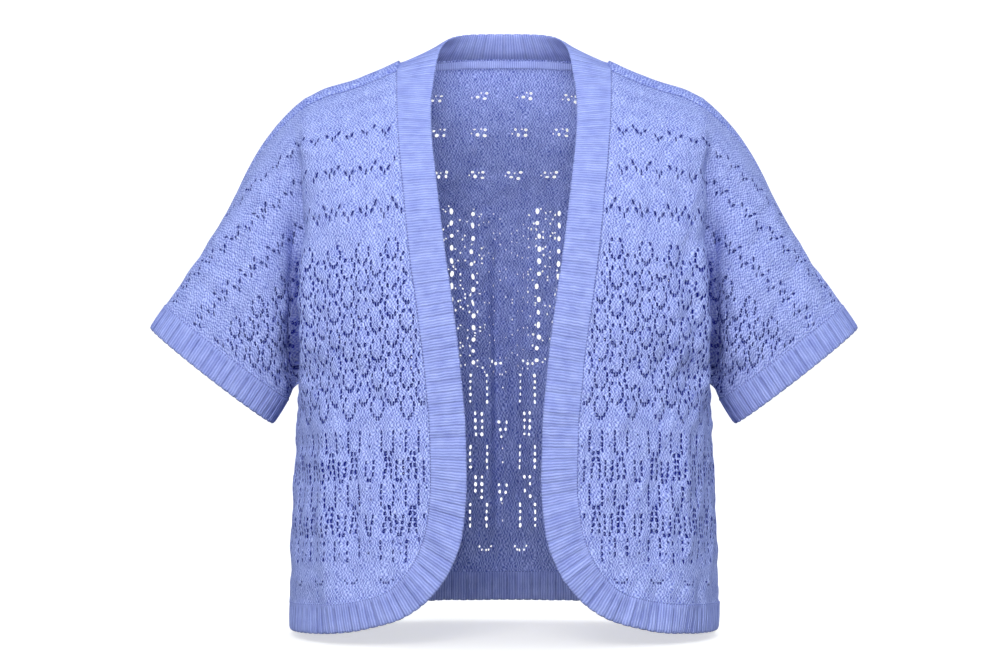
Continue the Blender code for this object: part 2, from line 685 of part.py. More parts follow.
def share_seam_normals(shells):
    """Gives points of different pieces that meet at a seam one common normal."""
    points = np.concatenate([shell["points"].reshape(-1, 3) for shell in shells.values()])
    normals = np.concatenate([shell["normals"].reshape(-1, 3) for shell in shells.values()])
    tree = KDTree(len(points))
    for i, point in enumerate(points):
        tree.insert(point, i)
    tree.balance()
    shared = normals.copy()
    for i, point in enumerate(points):
        near = [index for _, index, _ in tree.find_range(point, 4e-6)]
        if len(near) > 1:
            total = normals[near].sum(0)
            shared[i] = total / np.linalg.norm(total)
    first = 0
    for shell in shells.values():
        count = shell["normals"].size // 3
        shell["normals"] = shared[first:first + count].reshape(shell["normals"].shape)
        first += count


def boundary_edges(faces):
    """Edges that only one triangle uses, in that triangle's direction."""
    directed = np.concatenate([faces[:, [0, 1]], faces[:, [1, 2]], faces[:, [2, 0]]])
    keys = {}
    for a, b in directed:
        keys[(a, b)] = keys.get((a, b), 0) + 1
    return np.array([(a, b) for a, b in keys if (b, a) not in keys])


def pulled_in(points, normals, edges):
    """Moves edge points into their own piece by half a seam gap, square to the edges."""
    inward = [[] for _ in points]
    for a, b in edges:
        along = points[b] - points[a]
        into = np.cross(normals[a] + normals[b], along)
        into /= np.linalg.norm(into)
        inward[a].append(into)
        inward[b].append(into)
    moved = points.copy()
    for i, directions in enumerate(inward):
        if len(directions) == 2:
            first, second = directions
            spread = max(0.25, 1 + float(first @ second))
            moved[i] += 0.5 * SEAM_GAP * (first + second) / spread
        elif directions:
            moved[i] += 0.5 * SEAM_GAP * np.mean(directions, axis=0)
    return moved


def wall_from_panel(shell, thickness):
    """A closed wall: the outer face, an inner face behind it and the edges between."""
    points, normals, faces = shell["points"], shell["normals"], shell["faces"]
    edges = boundary_edges(faces)
    outer = pulled_in(points, normals, edges)
    inner = outer - normals * thickness
    count = len(points)
    triangles = list(faces) + [face[::-1] + count for face in faces]
    for a, b in edges:
        if shorter_first(outer[a], inner[b], outer[b], inner[a]):
            triangles += [(b, a, b + count), (a, a + count, b + count)]
        else:
            triangles += [(b, a, a + count), (b, a + count, b + count)]
    return np.concatenate([outer, inner]), triangles


def shorter_first(a, b, c, d):
    """Both walls at a seam split each side face along its shorter diagonal, so they match."""
    return np.linalg.norm(a - b) < np.linalg.norm(c - d)


def wall_from_strip(shell):
    """A closed ribbed wall: ribs raised on the outer face over a plain inside."""
    ends, normals, closed = shell["points"], shell["normals"], shell["closed"]
    ribs = len(ends) if closed else len(ends) - 1
    columns, heights, ways = [], [], []
    for rib in range(ribs):
        after = (rib + 1) % len(ends)
        for place, height in RIB_GROOVE:
            columns.append(ends[rib] + (ends[after] - ends[rib]) * place)
            ways.append(normals[rib] + (normals[after] - normals[rib]) * place)
            heights.append(height)
    if not closed:
        columns.append(ends[-1])
        ways.append(normals[-1])
        heights.append(RIB_GROOVE[0][1])
    columns, ways = np.array(columns), np.array(ways)
    ways /= np.linalg.norm(ways, axis=-1, keepdims=True)
    columns = strip_pulled_in(columns, ways, closed)
    raised = columns + ways * RIB_RAISE * np.array(heights)[:, None, None]
    step = len(RIB_GROOVE)
    inner = (columns - ways * RIB_CLOTH)[::step]
    count, inner_count = len(columns), len(inner)
    points = np.concatenate([raised.reshape(-1, 3), inner.reshape(-1, 3)])

    def out(column, side):
        return 2 * (column % count) + side

    def back(rib, side):
        return 2 * count + 2 * (rib % inner_count) + side

    triangles = []
    for rib in range(ribs):
        for k in range(step):
            a, b = rib * step + k, rib * step + k + 1
            triangles += [(out(a, 0), out(b, 0), out(b, 1)), (out(a, 0), out(b, 1), out(a, 1))]
        near, far = back(rib, 0), back(rib + 1, 0)
        near_edge, far_edge = back(rib, 1), back(rib + 1, 1)
        triangles += [(near, far_edge, far), (near, near_edge, far_edge)]
        for side, first, last in ((0, near, far), (1, near_edge, far_edge)):
            a, b = points[out(rib * step, side)], points[out(rib * step + step, side)]
            middle = 0 if shorter_first(a, points[last], b, points[first]) else step
            fan = [(first, last, out(rib * step + middle, side))]
            for k in range(step):
                tip = first if k < middle else last
                fan.append((tip, out(rib * step + k + 1, side), out(rib * step + k, side)))
            triangles += fan if side == 0 else [face[::-1] for face in fan]
    if not closed:
        last = ribs * step
        triangles += [(out(0, 0), out(0, 1), back(0, 1)), (out(0, 0), back(0, 1), back(0, 0))]
        triangles += [
            (out(last, 1), out(last, 0), back(ribs, 0)),
            (out(last, 1), back(ribs, 0), back(ribs, 1)),
        ]
    return points, triangles


def strip_pulled_in(columns, normals, closed):
    """Draws a strip in by half a seam gap on its seam line and at its ends."""
    moved = columns.copy()
    seam = columns[:, 0]
    along = np.roll(seam, -1, 0) - np.roll(seam, 1, 0) if closed else np.gradient(seam, axis=0)
    into = np.cross(normals[:, 0], along)
    into *= np.sign((into * (columns[:, 1] - seam)).sum(-1, keepdims=True))
    into /= np.linalg.norm(into, axis=-1, keepdims=True)
    moved[:, 0] += into * SEAM_GAP / 2
    if not closed:
        for here, beside in ((0, 1), (-1, -2)):
            along = columns[beside] - columns[here]
            moved[here] += SEAM_GAP / 2 * along / np.linalg.norm(along, axis=-1, keepdims=True)
    return moved


def cuff_shell():
    fore, aft = cuff_rib_arcs()
    arcs = np.concatenate([fore[:-1], [fore[-1]], aft[1:-1][::-1]])
    angle = ellipse_angle(CUFF_SEAM, arcs)[0]
    seam, edge = ring_point(CUFF_SEAM, angle), ring_point(CUFF_EDGE, angle)
    middle = (seam.mean(0) + edge.mean(0)) / 2
    return faced_out(strip_shell(seam, edge, True), middle)


def band_shell(band):
    neck_seam = cloth_point("back", band["neck_q"], band["neck_v"])
    seam = np.concatenate([band["front_seam"], neck_seam])
    edge = np.concatenate([band["front_edge"], band["neck_edge"]])
    return faced_out(strip_shell(seam, edge, False), np.array([0.0, 0.0, -0.25]))


def back_hem_shell():
    half = back_hem_q()
    q = np.concatenate([-half[::-1], half[1:]])
    seam = cloth_point("back", q, np.full_like(q, HEM_SEAM))
    edge = cloth_point("back", q, np.full_like(q, HEM_EDGE))
    return faced_out(strip_shell(seam, edge, False), np.array([0.0, 0.0, -0.55]))


def mirrored(shell):
    turned = dict(shell)
    turned["points"] = shell["points"] * (-1, 1, 1)
    turned["normals"] = shell["normals"] * (-1, 1, 1)
    if "faces" in shell:
        turned["faces"] = shell["faces"][:, ::-1]
    else:
        turned["flipped"] = not shell["flipped"]
    return turned


def neck_row(band, below):
    """Places across the back at a depth below the neck seam, one at each rib of the neck."""
    q, v = band["neck_q"][2:], band["neck_v"][2:] + below
    return np.concatenate([np.stack([q, v], -1), np.stack([-q, v], -1)[::-1][1:]])


def neck_tape(band):
    """A narrow strip over the neck seam's inside, lying 0.3 mm off the back panel."""
    q, v = neck_row(band, 0.0).T
    rows = []
    for depth in TAPE_ROWS:
        points = cloth_point("back", q, v + depth)
        normals = cloth_normal("back", q, v + depth)
        face = points - normals * (CLOTH + SEAM_GAP)
        rows.append((face, face - normals * TAPE_CLOTH))
    (top_out, top_in), (low_out, low_in) = rows
    loops = [top_out, low_out, low_in, top_in]
    points = np.stack(loops, 1).reshape(-1, 3)
    triangles = []
    for i in range(len(q) - 1):
        for k in range(4):
            a, b = 4 * i + k, 4 * i + (k + 1) % 4
            triangles += [(a, b, b + 4), (a, b + 4, a + 4)]
    end = 4 * (len(q) - 1)
    triangles += [(0, 2, 1), (0, 3, 2), (end, end + 1, end + 2), (end, end + 2, end + 3)]
    return points, triangles


def add_solid(name, points, triangles):
    mesh = bpy.data.meshes.new(name)
    mesh.from_pydata([tuple(p) for p in points], [], [tuple(int(i) for i in t) for t in triangles])
    volume = signed_volume(np.asarray(points), np.array(triangles))
    if volume < 0:
        mesh.flip_normals()
    mesh.shade_smooth()
    mesh.set_sharp_from_angle(angle=math.radians(SHARP))
    solid = bpy.data.objects.new(name, mesh)
    bpy.context.scene.collection.objects.link(solid)
    mesh.materials.append(knit_material(name))
    return solid


def signed_volume(points, triangles):
    a, b, c = (points[triangles[:, i]] for i in range(3))
    return float(np.einsum("ij,ij->i", a, np.cross(b, c)).sum() / 6)


def knit_material(name):
    material = bpy.data.materials.new(f"{name}_knit")
    material.use_nodes = True
    shader = material.node_tree.nodes["Principled BSDF"]
    shader.inputs["Base Color"].default_value = (*COLOURS[name], 1.0)
    shader.inputs["Roughness"].default_value = 0.85
    shader.inputs["Metallic"].default_value = 0.0
    return material


def build():
    for old in list(bpy.data.objects):
        bpy.data.objects.remove(old)
    band = band_lines()
    outline = front_outline(band)
    loops = gap_loops("front", (1.0,))
    left_outline = outline
    right_outline = outline[::-1] * (-1, 1)
    right_loops = [loop[::-1] * (-1, 1) for loop in loops]
    cuff, ribbon = cuff_shell(), band_shell(band)
    back_loops = gap_loops("back", (1.0, -1.0))
    below_tape = neck_row(band, TAPE_ROWS[1] + 0.001)
    shells = {
        "back": panel_shell("back", back_outline(band), back_loops, below_tape),
        "front_left": panel_shell("front", left_outline, loops),
        "front_right": panel_shell("front", right_outline, right_loops),
        "band_left": ribbon,
        "band_right": mirrored(ribbon),
        "back_hem": back_hem_shell(),
        "cuff_left": cuff,
        "cuff_right": mirrored(cuff),
    }
    share_seam_normals(shells)
    for name, shell in shells.items():
        if "faces" in shell:
            add_solid(name, *wall_from_panel(shell, CLOTH))
        else:
            add_solid(name, *wall_from_strip(shell))
    add_solid("neck_tape", *neck_tape(band))


build()
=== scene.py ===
# Short-sleeve lace cardigan, filled out as it is worn. Metres, +Z up, its front towards -Y.
import math

import bpy
import numpy as np
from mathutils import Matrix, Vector


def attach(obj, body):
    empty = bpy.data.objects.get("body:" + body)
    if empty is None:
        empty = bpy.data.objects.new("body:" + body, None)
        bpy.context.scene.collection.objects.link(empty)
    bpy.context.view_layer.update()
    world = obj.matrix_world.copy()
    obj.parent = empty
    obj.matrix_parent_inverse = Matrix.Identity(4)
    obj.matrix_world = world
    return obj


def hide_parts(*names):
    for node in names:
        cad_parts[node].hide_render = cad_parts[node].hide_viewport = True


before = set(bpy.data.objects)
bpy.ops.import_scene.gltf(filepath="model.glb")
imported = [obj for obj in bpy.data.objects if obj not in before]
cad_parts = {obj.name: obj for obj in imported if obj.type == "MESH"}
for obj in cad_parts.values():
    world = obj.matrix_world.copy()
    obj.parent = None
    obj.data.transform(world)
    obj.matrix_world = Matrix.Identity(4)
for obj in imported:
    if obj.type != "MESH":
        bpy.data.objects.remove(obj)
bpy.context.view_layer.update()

print("frame loaded:", len(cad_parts), "nodes")

# The cloth's form. Cloth has two numbers: q runs round the body, 0 at the centre, 1 at the side
# and 2 at the cuff seam, minus on the wearer's right; v runs down from the shoulder seam in metres.
armpit = 0.340
hemSeam = 0.557
hemEdge = 0.586
yoke = 0.140  # the back is carried over the shoulder down to here
squareness = 2.4  # of the body's plan, where 2 is an ellipse
valleyQ = 1.08  # the q of the armhole line
sideDroop = 0.85  # past the side the cloth drops this much for what it swings out
sideBegins = 0.06  # from here out the back's rows drop towards the front's
neckReach = 0.106
shoulderSeam = (  # reach from the centre, height
    (0.106, -0.0040),
    (0.130, -0.0145),
    (0.154, -0.0235),
    (0.180, -0.0310),
    (0.200, -0.0410),
)
frontColumns = ("cloth", "drop", "share", "sag", "depth", "edge", "valley", "half", "out")
frontRows = (
    (0.000, 0.0000, 1.00, 0.0000, 0.0000, 0.0000, 0.0000, 0.2000, 0.008),
    (0.020, 0.0130, 0.85, 0.0000, 0.0155, 0.0145, 0.0140, 0.2000, 0.008),
    (0.045, 0.0310, 0.65, 0.0000, 0.0355, 0.0290, 0.0270, 0.2000, 0.007),
    (0.090, 0.0660, 0.38, 0.0000, 0.0670, 0.0430, 0.0370, 0.1990, 0.004),
    (0.135, 0.1050, 0.32, 0.0000, 0.0910, 0.0480, 0.0370, 0.1975, -0.002),
    (0.180, 0.1470, 0.30, 0.0000, 0.1090, 0.0480, 0.0340, 0.1970, -0.006),
    (0.220, 0.1850, 0.30, 0.0010, 0.1210, 0.0460, 0.0310, 0.1970, -0.007),
    (0.260, 0.2240, 0.25, 0.0030, 0.1290, 0.0430, 0.0280, 0.1975, -0.007),
    (0.300, 0.2630, 0.15, 0.0060, 0.1335, 0.0340, 0.0200, 0.1995, -0.002),
    (0.340, 0.3020, 0.00, 0.0100, 0.1360, 0.0000, 0.0000, 0.2035, 0.006),
    (0.390, 0.3510, 0.00, 0.0100, 0.1370, 0.0000, 0.0000, 0.2060, 0.006),
    (0.450, 0.4110, 0.00, 0.0100, 0.1365, 0.0000, 0.0000, 0.2090, 0.006),
    (0.520, 0.4810, 0.00, 0.0110, 0.1350, 0.0000, 0.0000, 0.2120, 0.006),
    (0.557, 0.5185, 0.00, 0.0120, 0.1340, 0.0000, 0.0000, 0.2130, 0.006),
    (0.586, 0.5470, 0.00, 0.0125, 0.1330, 0.0000, 0.0000, 0.2135, 0.006),
)
backColumns = ("cloth", "drop", "depth", "edge", "valley")
backRows = (
    (0.140, 0.0617, 0.1040, 0.0600, 0.0500),
    (0.180, 0.0995, 0.1130, 0.0620, 0.0500),
    (0.220, 0.1300, 0.1190, 0.0610, 0.0480),
    (0.260, 0.1700, 0.1220, 0.0570, 0.0430),
    (0.300, 0.2110, 0.1230, 0.0450, 0.0300),
    (0.340, 0.2530, 0.1230, 0.0000, 0.0000),
    (0.390, 0.3010, 0.1240, 0.0000, 0.0000),
    (0.450, 0.3760, 0.1260, 0.0000, 0.0000),
    (0.520, 0.4655, 0.1275, 0.0000, 0.0000),
    (0.557, 0.5146, 0.1280, 0.0000, 0.0000),
    (0.586, 0.5436, 0.1285, 0.0000, 0.0000),
)
neckColumns = ("reach", "behind", "height", "cloth")
neckRows = (  # the seam round the back of the neck
    (0.0000, 0.0900, 0.0175, 0.0500),
    (0.0270, 0.0885, 0.0170, 0.0495),
    (0.0540, 0.0825, 0.0152, 0.0470),
    (0.0780, 0.0700, 0.0125, 0.0420),
    (0.0955, 0.0480, 0.0095, 0.0320),
    (0.1040, 0.0220, 0.0050, 0.0160),
    (0.1060, 0.0000, -0.0040, 0.0000),
)
shoulderTurn = {  # how the back leaves its top edge: how far behind, and degrees of climb there
    "climb": ((0.0, 50.0), (0.022, 14.0), (0.048, -24.0), (0.070, -52.0), (0.090, -70.0)),
    "speed": 1.12,
}
cuffSeam = {
    "reach": 0.2775, "height": -0.287, "long": 0.0774, "deep": 0.042, "lean": (0.795, 0.607),
}
cuffEdge = {
    "reach": 0.2925, "height": -0.310, "long": 0.0780, "deep": 0.043, "lean": (0.788, 0.615),
}
sleeveForm = {
    "behind": 0.033,  # the overarm seam meets the cuff this far behind its outer corner
    "spread": 0.57,  # how much closer the first front rows lie at the cuff than the last
    "axis": (0.575, 0.818),
    "fall": (0.90, 0.76),  # the way the cloth leaves the shoulder
    "round": 0.19,  # rows nearer the shoulder seam than this leave it rounded
    "bulge": 0.009,
}
bandRows = (  # from the side seam along the hem, round the corner and up the front
    (0.2130, -0.5345, 0.2135, -0.5605),
    (0.1890, -0.5312, 0.1880, -0.5585),
    (0.1560, -0.5275, 0.1525, -0.5548),
    (0.1310, -0.5222, 0.1245, -0.5485),
    (0.1123, -0.5155, 0.1010, -0.5408),
    (0.0940, -0.4990, 0.0745, -0.5235),
    (0.0800, -0.4760, 0.0520, -0.4950),
    (0.0715, -0.4460, 0.0390, -0.4580),
    (0.0685, -0.4050, 0.0349, -0.4090),
    (0.0695, -0.3600, 0.0360, -0.3580),
    (0.0737, -0.3098, 0.0404, -0.3050),
    (0.0800, -0.2560, 0.0468, -0.2500),
    (0.0882, -0.2000, 0.0547, -0.1965),
    (0.0942, -0.1450, 0.0618, -0.1420),
    (0.0990, -0.1010, 0.0670, -0.0995),
    (0.1022, -0.0690, 0.0700, -0.0700),
    (0.1045, -0.0370, 0.0712, -0.0400),
    (0.1060, -0.0040, 0.0672, 0.0030),
)
bandLean = {"from": -0.075, "to": -0.040, "top": 0.003, "ahead": 0.008, "slope": 0.75}
neckEdge = (  # the neck band's free edge, from the shoulder to the centre back: x, y, z
    (0.0672, -0.0080, 0.0030),
    (0.0645, 0.0070, 0.0165),
    (0.0585, 0.0300, 0.0290),
    (0.0490, 0.0520, 0.0365),
    (0.0360, 0.0630, 0.0397),
    (0.0180, 0.0685, 0.0408),
    (0.0000, 0.0700, 0.0412),
)
softFolds = (  # panel, centre x, half width, top, bottom, depth out of the body
    ("front", -0.162, 0.021, -0.26, -0.60, 0.0045),
    ("front", 0.165, 0.021, -0.12, -0.60, 0.0045),
    ("back", 0.002, 0.026, -0.09, -0.58, 0.0060),
    ("back", 0.112, 0.026, -0.22, -0.60, 0.0040),
    ("back", -0.120, 0.026, -0.20, -0.60, 0.0040),
)
foldFades = {"top": 0.12, "bottom": 0.10, "side": 0.1}  # over these heights, and this much of q


# A cubic from start to end, by the slopes it leaves and arrives with.
def hermite(start, end, leave, arrive, t):
    return (
        (2 * t**3 - 3 * t**2 + 1) * start
        + (t**3 - 2 * t**2 + t) * leave
        + (3 * t**2 - 2 * t**3) * end
        + (t**3 - t**2) * arrive
    )


# A smooth curve through the knots that never overshoots them.
def smoothCurve(knots, values, at):
    knots = np.asarray(knots, float)
    values = np.asarray(values, float)
    at = np.clip(at, knots[0], knots[-1])
    step = np.diff(knots)
    slope = np.diff(values) / step
    tangent = np.zeros(len(knots))
    tangent[0], tangent[-1] = slope[0], slope[-1]
    same = slope[:-1] * slope[1:] > 0
    before, after = 2 * step[1:] + step[:-1], step[1:] + 2 * step[:-1]
    safeA = np.where(same, slope[:-1], 1.0)
    safeB = np.where(same, slope[1:], 1.0)
    mean = (before + after) / (before / safeA + after / safeB)
    tangent[1:-1] = np.where(same, mean, 0.0)
    i = np.clip(np.searchsorted(knots, at, side="right") - 1, 0, len(knots) - 2)
    t = (at - knots[i]) / step[i]
    return hermite(values[i], values[i + 1], tangent[i] * step[i], tangent[i + 1] * step[i], t)


def readTable(rows, columns, name, at):
    return smoothCurve([row[0] for row in rows], [row[columns.index(name)] for row in rows], at)


def frontRow(name, v):
    return readTable(frontRows, frontColumns, name, v)


def backRow(name, v):
    return readTable(backRows, backColumns, name, v)


def smoothstep(x):
    x = np.clip(x, 0.0, 1.0)
    return x * x * (3 - 2 * x)


def shoulderHeight(x):
    return smoothCurve([p[0] for p in shoulderSeam], [p[1] for p in shoulderSeam], x)


# x and depth at q on the rounded plan of a body row: the superellipse's own angle.
def roundPlan(q, half, edge, depth):
    angle = np.clip(q, 0, 1) * math.pi / 2
    x = half * np.sin(angle) ** (2 / squareness)
    y = edge + (depth - edge) * np.cos(angle) ** (2 / squareness)
    return x, y


# Carries a row from the body's side on to the armhole line.
def pastSide(q, x, y, z, v, valley):
    t = np.clip((q - 1) / (valleyQ - 1), 0, 1)
    out = frontRow("out", v)
    x = x + out * t
    y = y + (valley - y) * t * (q > 1)
    z = z - sideDroop * np.maximum(out, 0) * t
    return x, y, z


def frontHeight(x, v):
    seam = shoulderHeight(neckReach)
    sag = frontRow("sag", v) * (x / frontRow("half", v)) ** 4
    return seam - frontRow("drop", v) + frontRow("share", v) * (shoulderHeight(x) - seam) - sag


def frontBody(q, v):
    half = frontRow("half", v)
    x, y = roundPlan(q, half, frontRow("edge", v), frontRow("depth", v))
    z = frontHeight(x, v)
    x, y, z = pastSide(q, x, y, z, v, frontRow("valley", v))
    return np.stack([x, -y, z], -1)


def backBelowYoke(q, v):
    half = frontRow("half", v)
    x, y = roundPlan(q, half, backRow("edge", v), backRow("depth", v))
    towardSide = smoothstep((x - sideBegins) / (half - sideBegins))
    seam = shoulderHeight(neckReach)
    drop = backRow("drop", v) + (frontRow("drop", v) - backRow("drop", v)) * towardSide
    z = seam - drop + frontRow("share", v) * (shoulderHeight(x) - seam)
    z = z - frontRow("sag", v) * (x / half) ** 4
    x, y, z = pastSide(q, x, y, z, v, backRow("valley", v))
    return np.stack([x, y, z], -1)


def neckAt(name, x):
    return readTable(neckRows, neckColumns, name, np.clip(x, 0, neckReach))


# The back's top edge: round the neck, then along the shoulder seam; with its v.
def topEdge(q):
    x, y = roundPlan(q, frontRow("half", 0.0), 0.0, 0.0)
    z = shoulderHeight(x)
    x, y, z = pastSide(q, x, y, z, np.zeros_like(q), 0.0)
    inside = x < neckReach
    y = np.where(inside, neckAt("behind", x), 0.0)
    z = np.where(inside, neckAt("height", x), z)
    v = np.where(inside, neckAt("cloth", x), 0.0)
    return np.stack([x, y, z], -1), v


def backBody(q, v):
    nearby = 0.002
    low = backBelowYoke(q, np.maximum(v, yoke))
    start, startV = topEdge(q)
    end = backBelowYoke(q, np.full_like(v, yoke))
    length = yoke - startV
    arrive = (backBelowYoke(q, np.full_like(v, yoke + nearby)) - end) / nearby
    climb = np.radians(np.interp(start[..., 1], *zip(*shoulderTurn["climb"])))
    leave = np.stack([np.zeros_like(q), np.cos(climb), np.sin(climb)], -1) * shoulderTurn["speed"]
    t = np.clip((v - startV) / length, 0, 1)[..., None]
    over = hermite(start, end, leave * length[..., None], arrive * length[..., None], t)
    return np.where((v < yoke)[..., None], over, low)


# The angle round the ring at an arc length from its outer corner, forward of it positive.
def ellipseAngle(ring, arc):
    angle = np.linspace(-math.pi, math.pi, 721)
    x, y = ring["long"] * np.cos(angle), ring["deep"] * np.sin(angle)
    length = np.concatenate([[0], np.cumsum(np.hypot(np.diff(x), np.diff(y)))])
    length -= length[-1] / 2
    return np.interp(arc, length, angle), length[-1]


def ringPoint(ring, angle):
    along = ring["long"] * np.cos(angle)
    return np.stack(
        [
            ring["reach"] + along * ring["lean"][0],
            -ring["deep"] * np.sin(angle),
            ring["height"] + along * ring["lean"][1],
        ],
        -1,
    )


def cuffArc(panel, v):
    halfRound = ellipseAngle(cuffSeam, 0.0)[1]
    w = np.clip(v / armpit, 0, 1)
    if panel == "front":
        spread = sleeveForm["spread"] * w + (1 - sleeveForm["spread"]) * w**2
        return -sleeveForm["behind"] + (halfRound + sleeveForm["behind"]) * spread
    return -sleeveForm["behind"] - (halfRound - sleeveForm["behind"]) * w


def sleeve(panel, q, v):
    body = frontBody if panel == "front" else backBody
    start = body(np.full_like(q, valleyQ), v)
    end = ringPoint(cuffSeam, ellipseAngle(cuffSeam, cuffArc(panel, v))[0])
    reach = np.linalg.norm(end - start, axis=-1, keepdims=True)
    straight = end - start
    fall = np.array([sleeveForm["fall"][0], 0, -sleeveForm["fall"][1]]) * reach
    axis = np.array([sleeveForm["axis"][0], 0, -sleeveForm["axis"][1]]) * reach
    top = smoothstep(1 - v / sleeveForm["round"])[..., None]
    t = np.clip((q - valleyQ) / (2 - valleyQ), 0, 1)
    leave, arrive = straight + (fall - straight) * top, 0.5 * (straight + axis)
    points = hermite(start, end, leave, arrive, t[..., None])
    side = -1.0 if panel == "front" else 1.0
    w = np.clip(v / armpit, 0, 1)
    points[..., 1] += side * sleeveForm["bulge"] * np.sin(math.pi * t) * np.sin(math.pi * w)
    return points


# The outer face of the front or back at q and v.
def clothPoint(panel, q, v):
    q, v = np.broadcast_arrays(np.asarray(q, float), np.asarray(v, float))
    hand = np.where(q < 0, -1.0, 1.0)
    far = np.abs(q)
    body = (frontBody if panel == "front" else backBody)(np.minimum(far, valleyQ), v)
    arm = sleeve(panel, far, np.minimum(v, armpit))
    points = np.where((far > valleyQ)[..., None], arm, body)
    points[..., 0] *= hand
    return folded(panel, points, far)


# Adds the soft upright folds.
def folded(panel, points, far):
    out = -1.0 if panel == "front" else 1.0
    x, z = points[..., 0], points[..., 2]
    onBody = smoothstep((1.0 - far) / foldFades["side"])
    for which, centre, width, top, bottom, depth in softFolds:
        if which == panel:
            middle = smoothstep((top - z) / foldFades["top"])
            middle = middle * smoothstep((z - bottom) / foldFades["bottom"])
            shape = np.exp(-(((x - centre) / width) ** 2))
            points[..., 1] += out * depth * middle * shape * onBody
    return points


def clothNormal(panel, q, v):
    step = 1e-4
    q, v = np.broadcast_arrays(np.asarray(q, float), np.asarray(v, float))
    across = clothPoint(panel, q + step, v) - clothPoint(panel, q - step, v)
    down = clothPoint(panel, q, v + step) - clothPoint(panel, q, v - step)
    normal = np.cross(down, across) if panel == "front" else np.cross(across, down)
    length = np.linalg.norm(normal, axis=-1, keepdims=True)
    return normal / np.maximum(length, 1e-12)


# The q and v of the front at a given x and height, both on the left hand.
def clothPlace(panel, x, z):
    v = np.linspace(0.0, hemEdge, 2001)
    vAt = np.array([np.interp(-height, -frontHeight(reach, v), v) for reach, height in zip(x, z)])
    half = frontRow("half", vAt)
    ratio = np.clip(np.asarray(x) / half, 0, 1)
    return np.arcsin(ratio ** (squareness / 2)) * 2 / math.pi, vAt


# Creases and unevenness, the same at one place for every piece that meets there.
creases = {
    "lines": (  # panel, from x z, to x z, half width, depth out of the body
        ("front", (-0.176, -0.335), (-0.168, -0.560), 0.008, 0.0026),
        ("front", (-0.150, -0.345), (-0.146, -0.520), 0.007, -0.0022),
        ("front", (-0.128, -0.400), (-0.120, -0.540), 0.009, 0.0016),
        ("front", (-0.188, -0.150), (-0.182, -0.330), 0.009, 0.0024),
        ("front", (-0.155, -0.170), (-0.150, -0.300), 0.012, -0.0018),
        ("front", (-0.118, -0.190), (-0.112, -0.330), 0.011, 0.0016),
        ("front", (0.186, -0.130), (0.190, -0.390), 0.008, 0.0026),
        ("front", (0.160, -0.150), (0.158, -0.420), 0.009, -0.0022),
        ("front", (0.176, -0.330), (0.180, -0.560), 0.008, 0.0028),
        ("front", (0.150, -0.380), (0.146, -0.540), 0.008, -0.0020),
        ("front", (0.120, -0.230), (0.114, -0.420), 0.012, 0.0018),
        ("front", (-0.2080, -0.160), (-0.2085, -0.310), 0.0105, -0.0060),
        ("front", (-0.2050, -0.165), (-0.2060, -0.310), 0.0048, -0.0080),
        ("front", (-0.1915, -0.185), (-0.1925, -0.335), 0.0070, 0.0066),
        ("front", (0.2080, -0.160), (0.2085, -0.310), 0.0105, -0.0060),
        ("front", (0.2050, -0.165), (0.2060, -0.310), 0.0048, -0.0080),
        ("front", (0.1915, -0.185), (0.1925, -0.335), 0.0070, 0.0066),
        ("front", (-0.252, -0.150), (-0.225, -0.285), 0.010, 0.0022),
        ("front", (-0.300, -0.215), (-0.245, -0.300), 0.009, -0.0016),
        ("front", (0.246, -0.140), (0.222, -0.290), 0.010, 0.0022),
        ("front", (0.290, -0.200), (0.250, -0.300), 0.010, -0.0018),
        ("back", (-0.014, -0.260), (-0.013, -0.470), 0.0035, -0.0050),
        ("back", (-0.022, -0.190), (-0.020, -0.470), 0.0070, -0.0050),
        ("back", (0.028, -0.180), (0.030, -0.430), 0.0080, -0.0050),
        ("back", (-0.008, -0.170), (-0.006, -0.520), 0.0055, 0.0060),
        ("back", (0.012, -0.200), (0.010, -0.500), 0.0055, 0.0050),
        ("back", (-0.055, -0.330), (-0.058, -0.560), 0.0100, 0.0026),
        ("back", (0.060, -0.300), (0.066, -0.560), 0.0110, 0.0026),
        ("back", (0.180, -0.120), (0.176, -0.330), 0.0110, 0.0030),
        ("back", (-0.178, -0.110), (-0.172, -0.350), 0.0110, 0.0030),
        ("back", (0.150, -0.310), (0.158, -0.560), 0.0120, -0.0026),
        ("back", (-0.146, -0.330), (-0.152, -0.560), 0.0120, -0.0026),
        ("back", (0.250, -0.150), (0.224, -0.290), 0.0110, 0.0024),
        ("back", (-0.256, -0.160), (-0.228, -0.290), 0.0110, 0.0024),
    ),
    # painted shade in the sleeve's fold beside the front: from x z, to x z, half width, darkness
    "paintedFoldShade": ((0.201, -0.180), (0.202, -0.315), 0.0085, 0.84),  # the sleeve's fold beside the front
    "waves": (  # length across, length down, turn, height: the cloth's own unevenness
        (0.046, 0.120, 0.3, 0.0007),
        (0.031, 0.052, 1.9, 0.0005),
        (0.019, 0.034, 4.1, 0.0003),
        (0.083, 0.061, 2.6, 0.0007),
    ),
    "waveLean": 0.6,
    "waveSway": 1.7,
    "past": 0.15,  # a crease fades this share of its length past its ends
    "taper": 0.35,
    "fades": {"shoulder": 0.12, "cuff": 0.15, "side": 0.1, "underarm": 0.03},
}


def nearLine(points, start, end):
    x, z = points[..., 0], points[..., 2]
    dx, dz = end[0] - start[0], end[1] - start[1]
    t = ((x - start[0]) * dx + (z - start[1]) * dz) / (dx * dx + dz * dz)
    along = np.clip(t, 0, 1)
    near = np.hypot(x - start[0] - along * dx, z - start[1] - along * dz)
    past, taper = creases["past"], creases["taper"]
    return near, smoothstep((1 + past - t) / taper) * smoothstep((t + past) / taper)


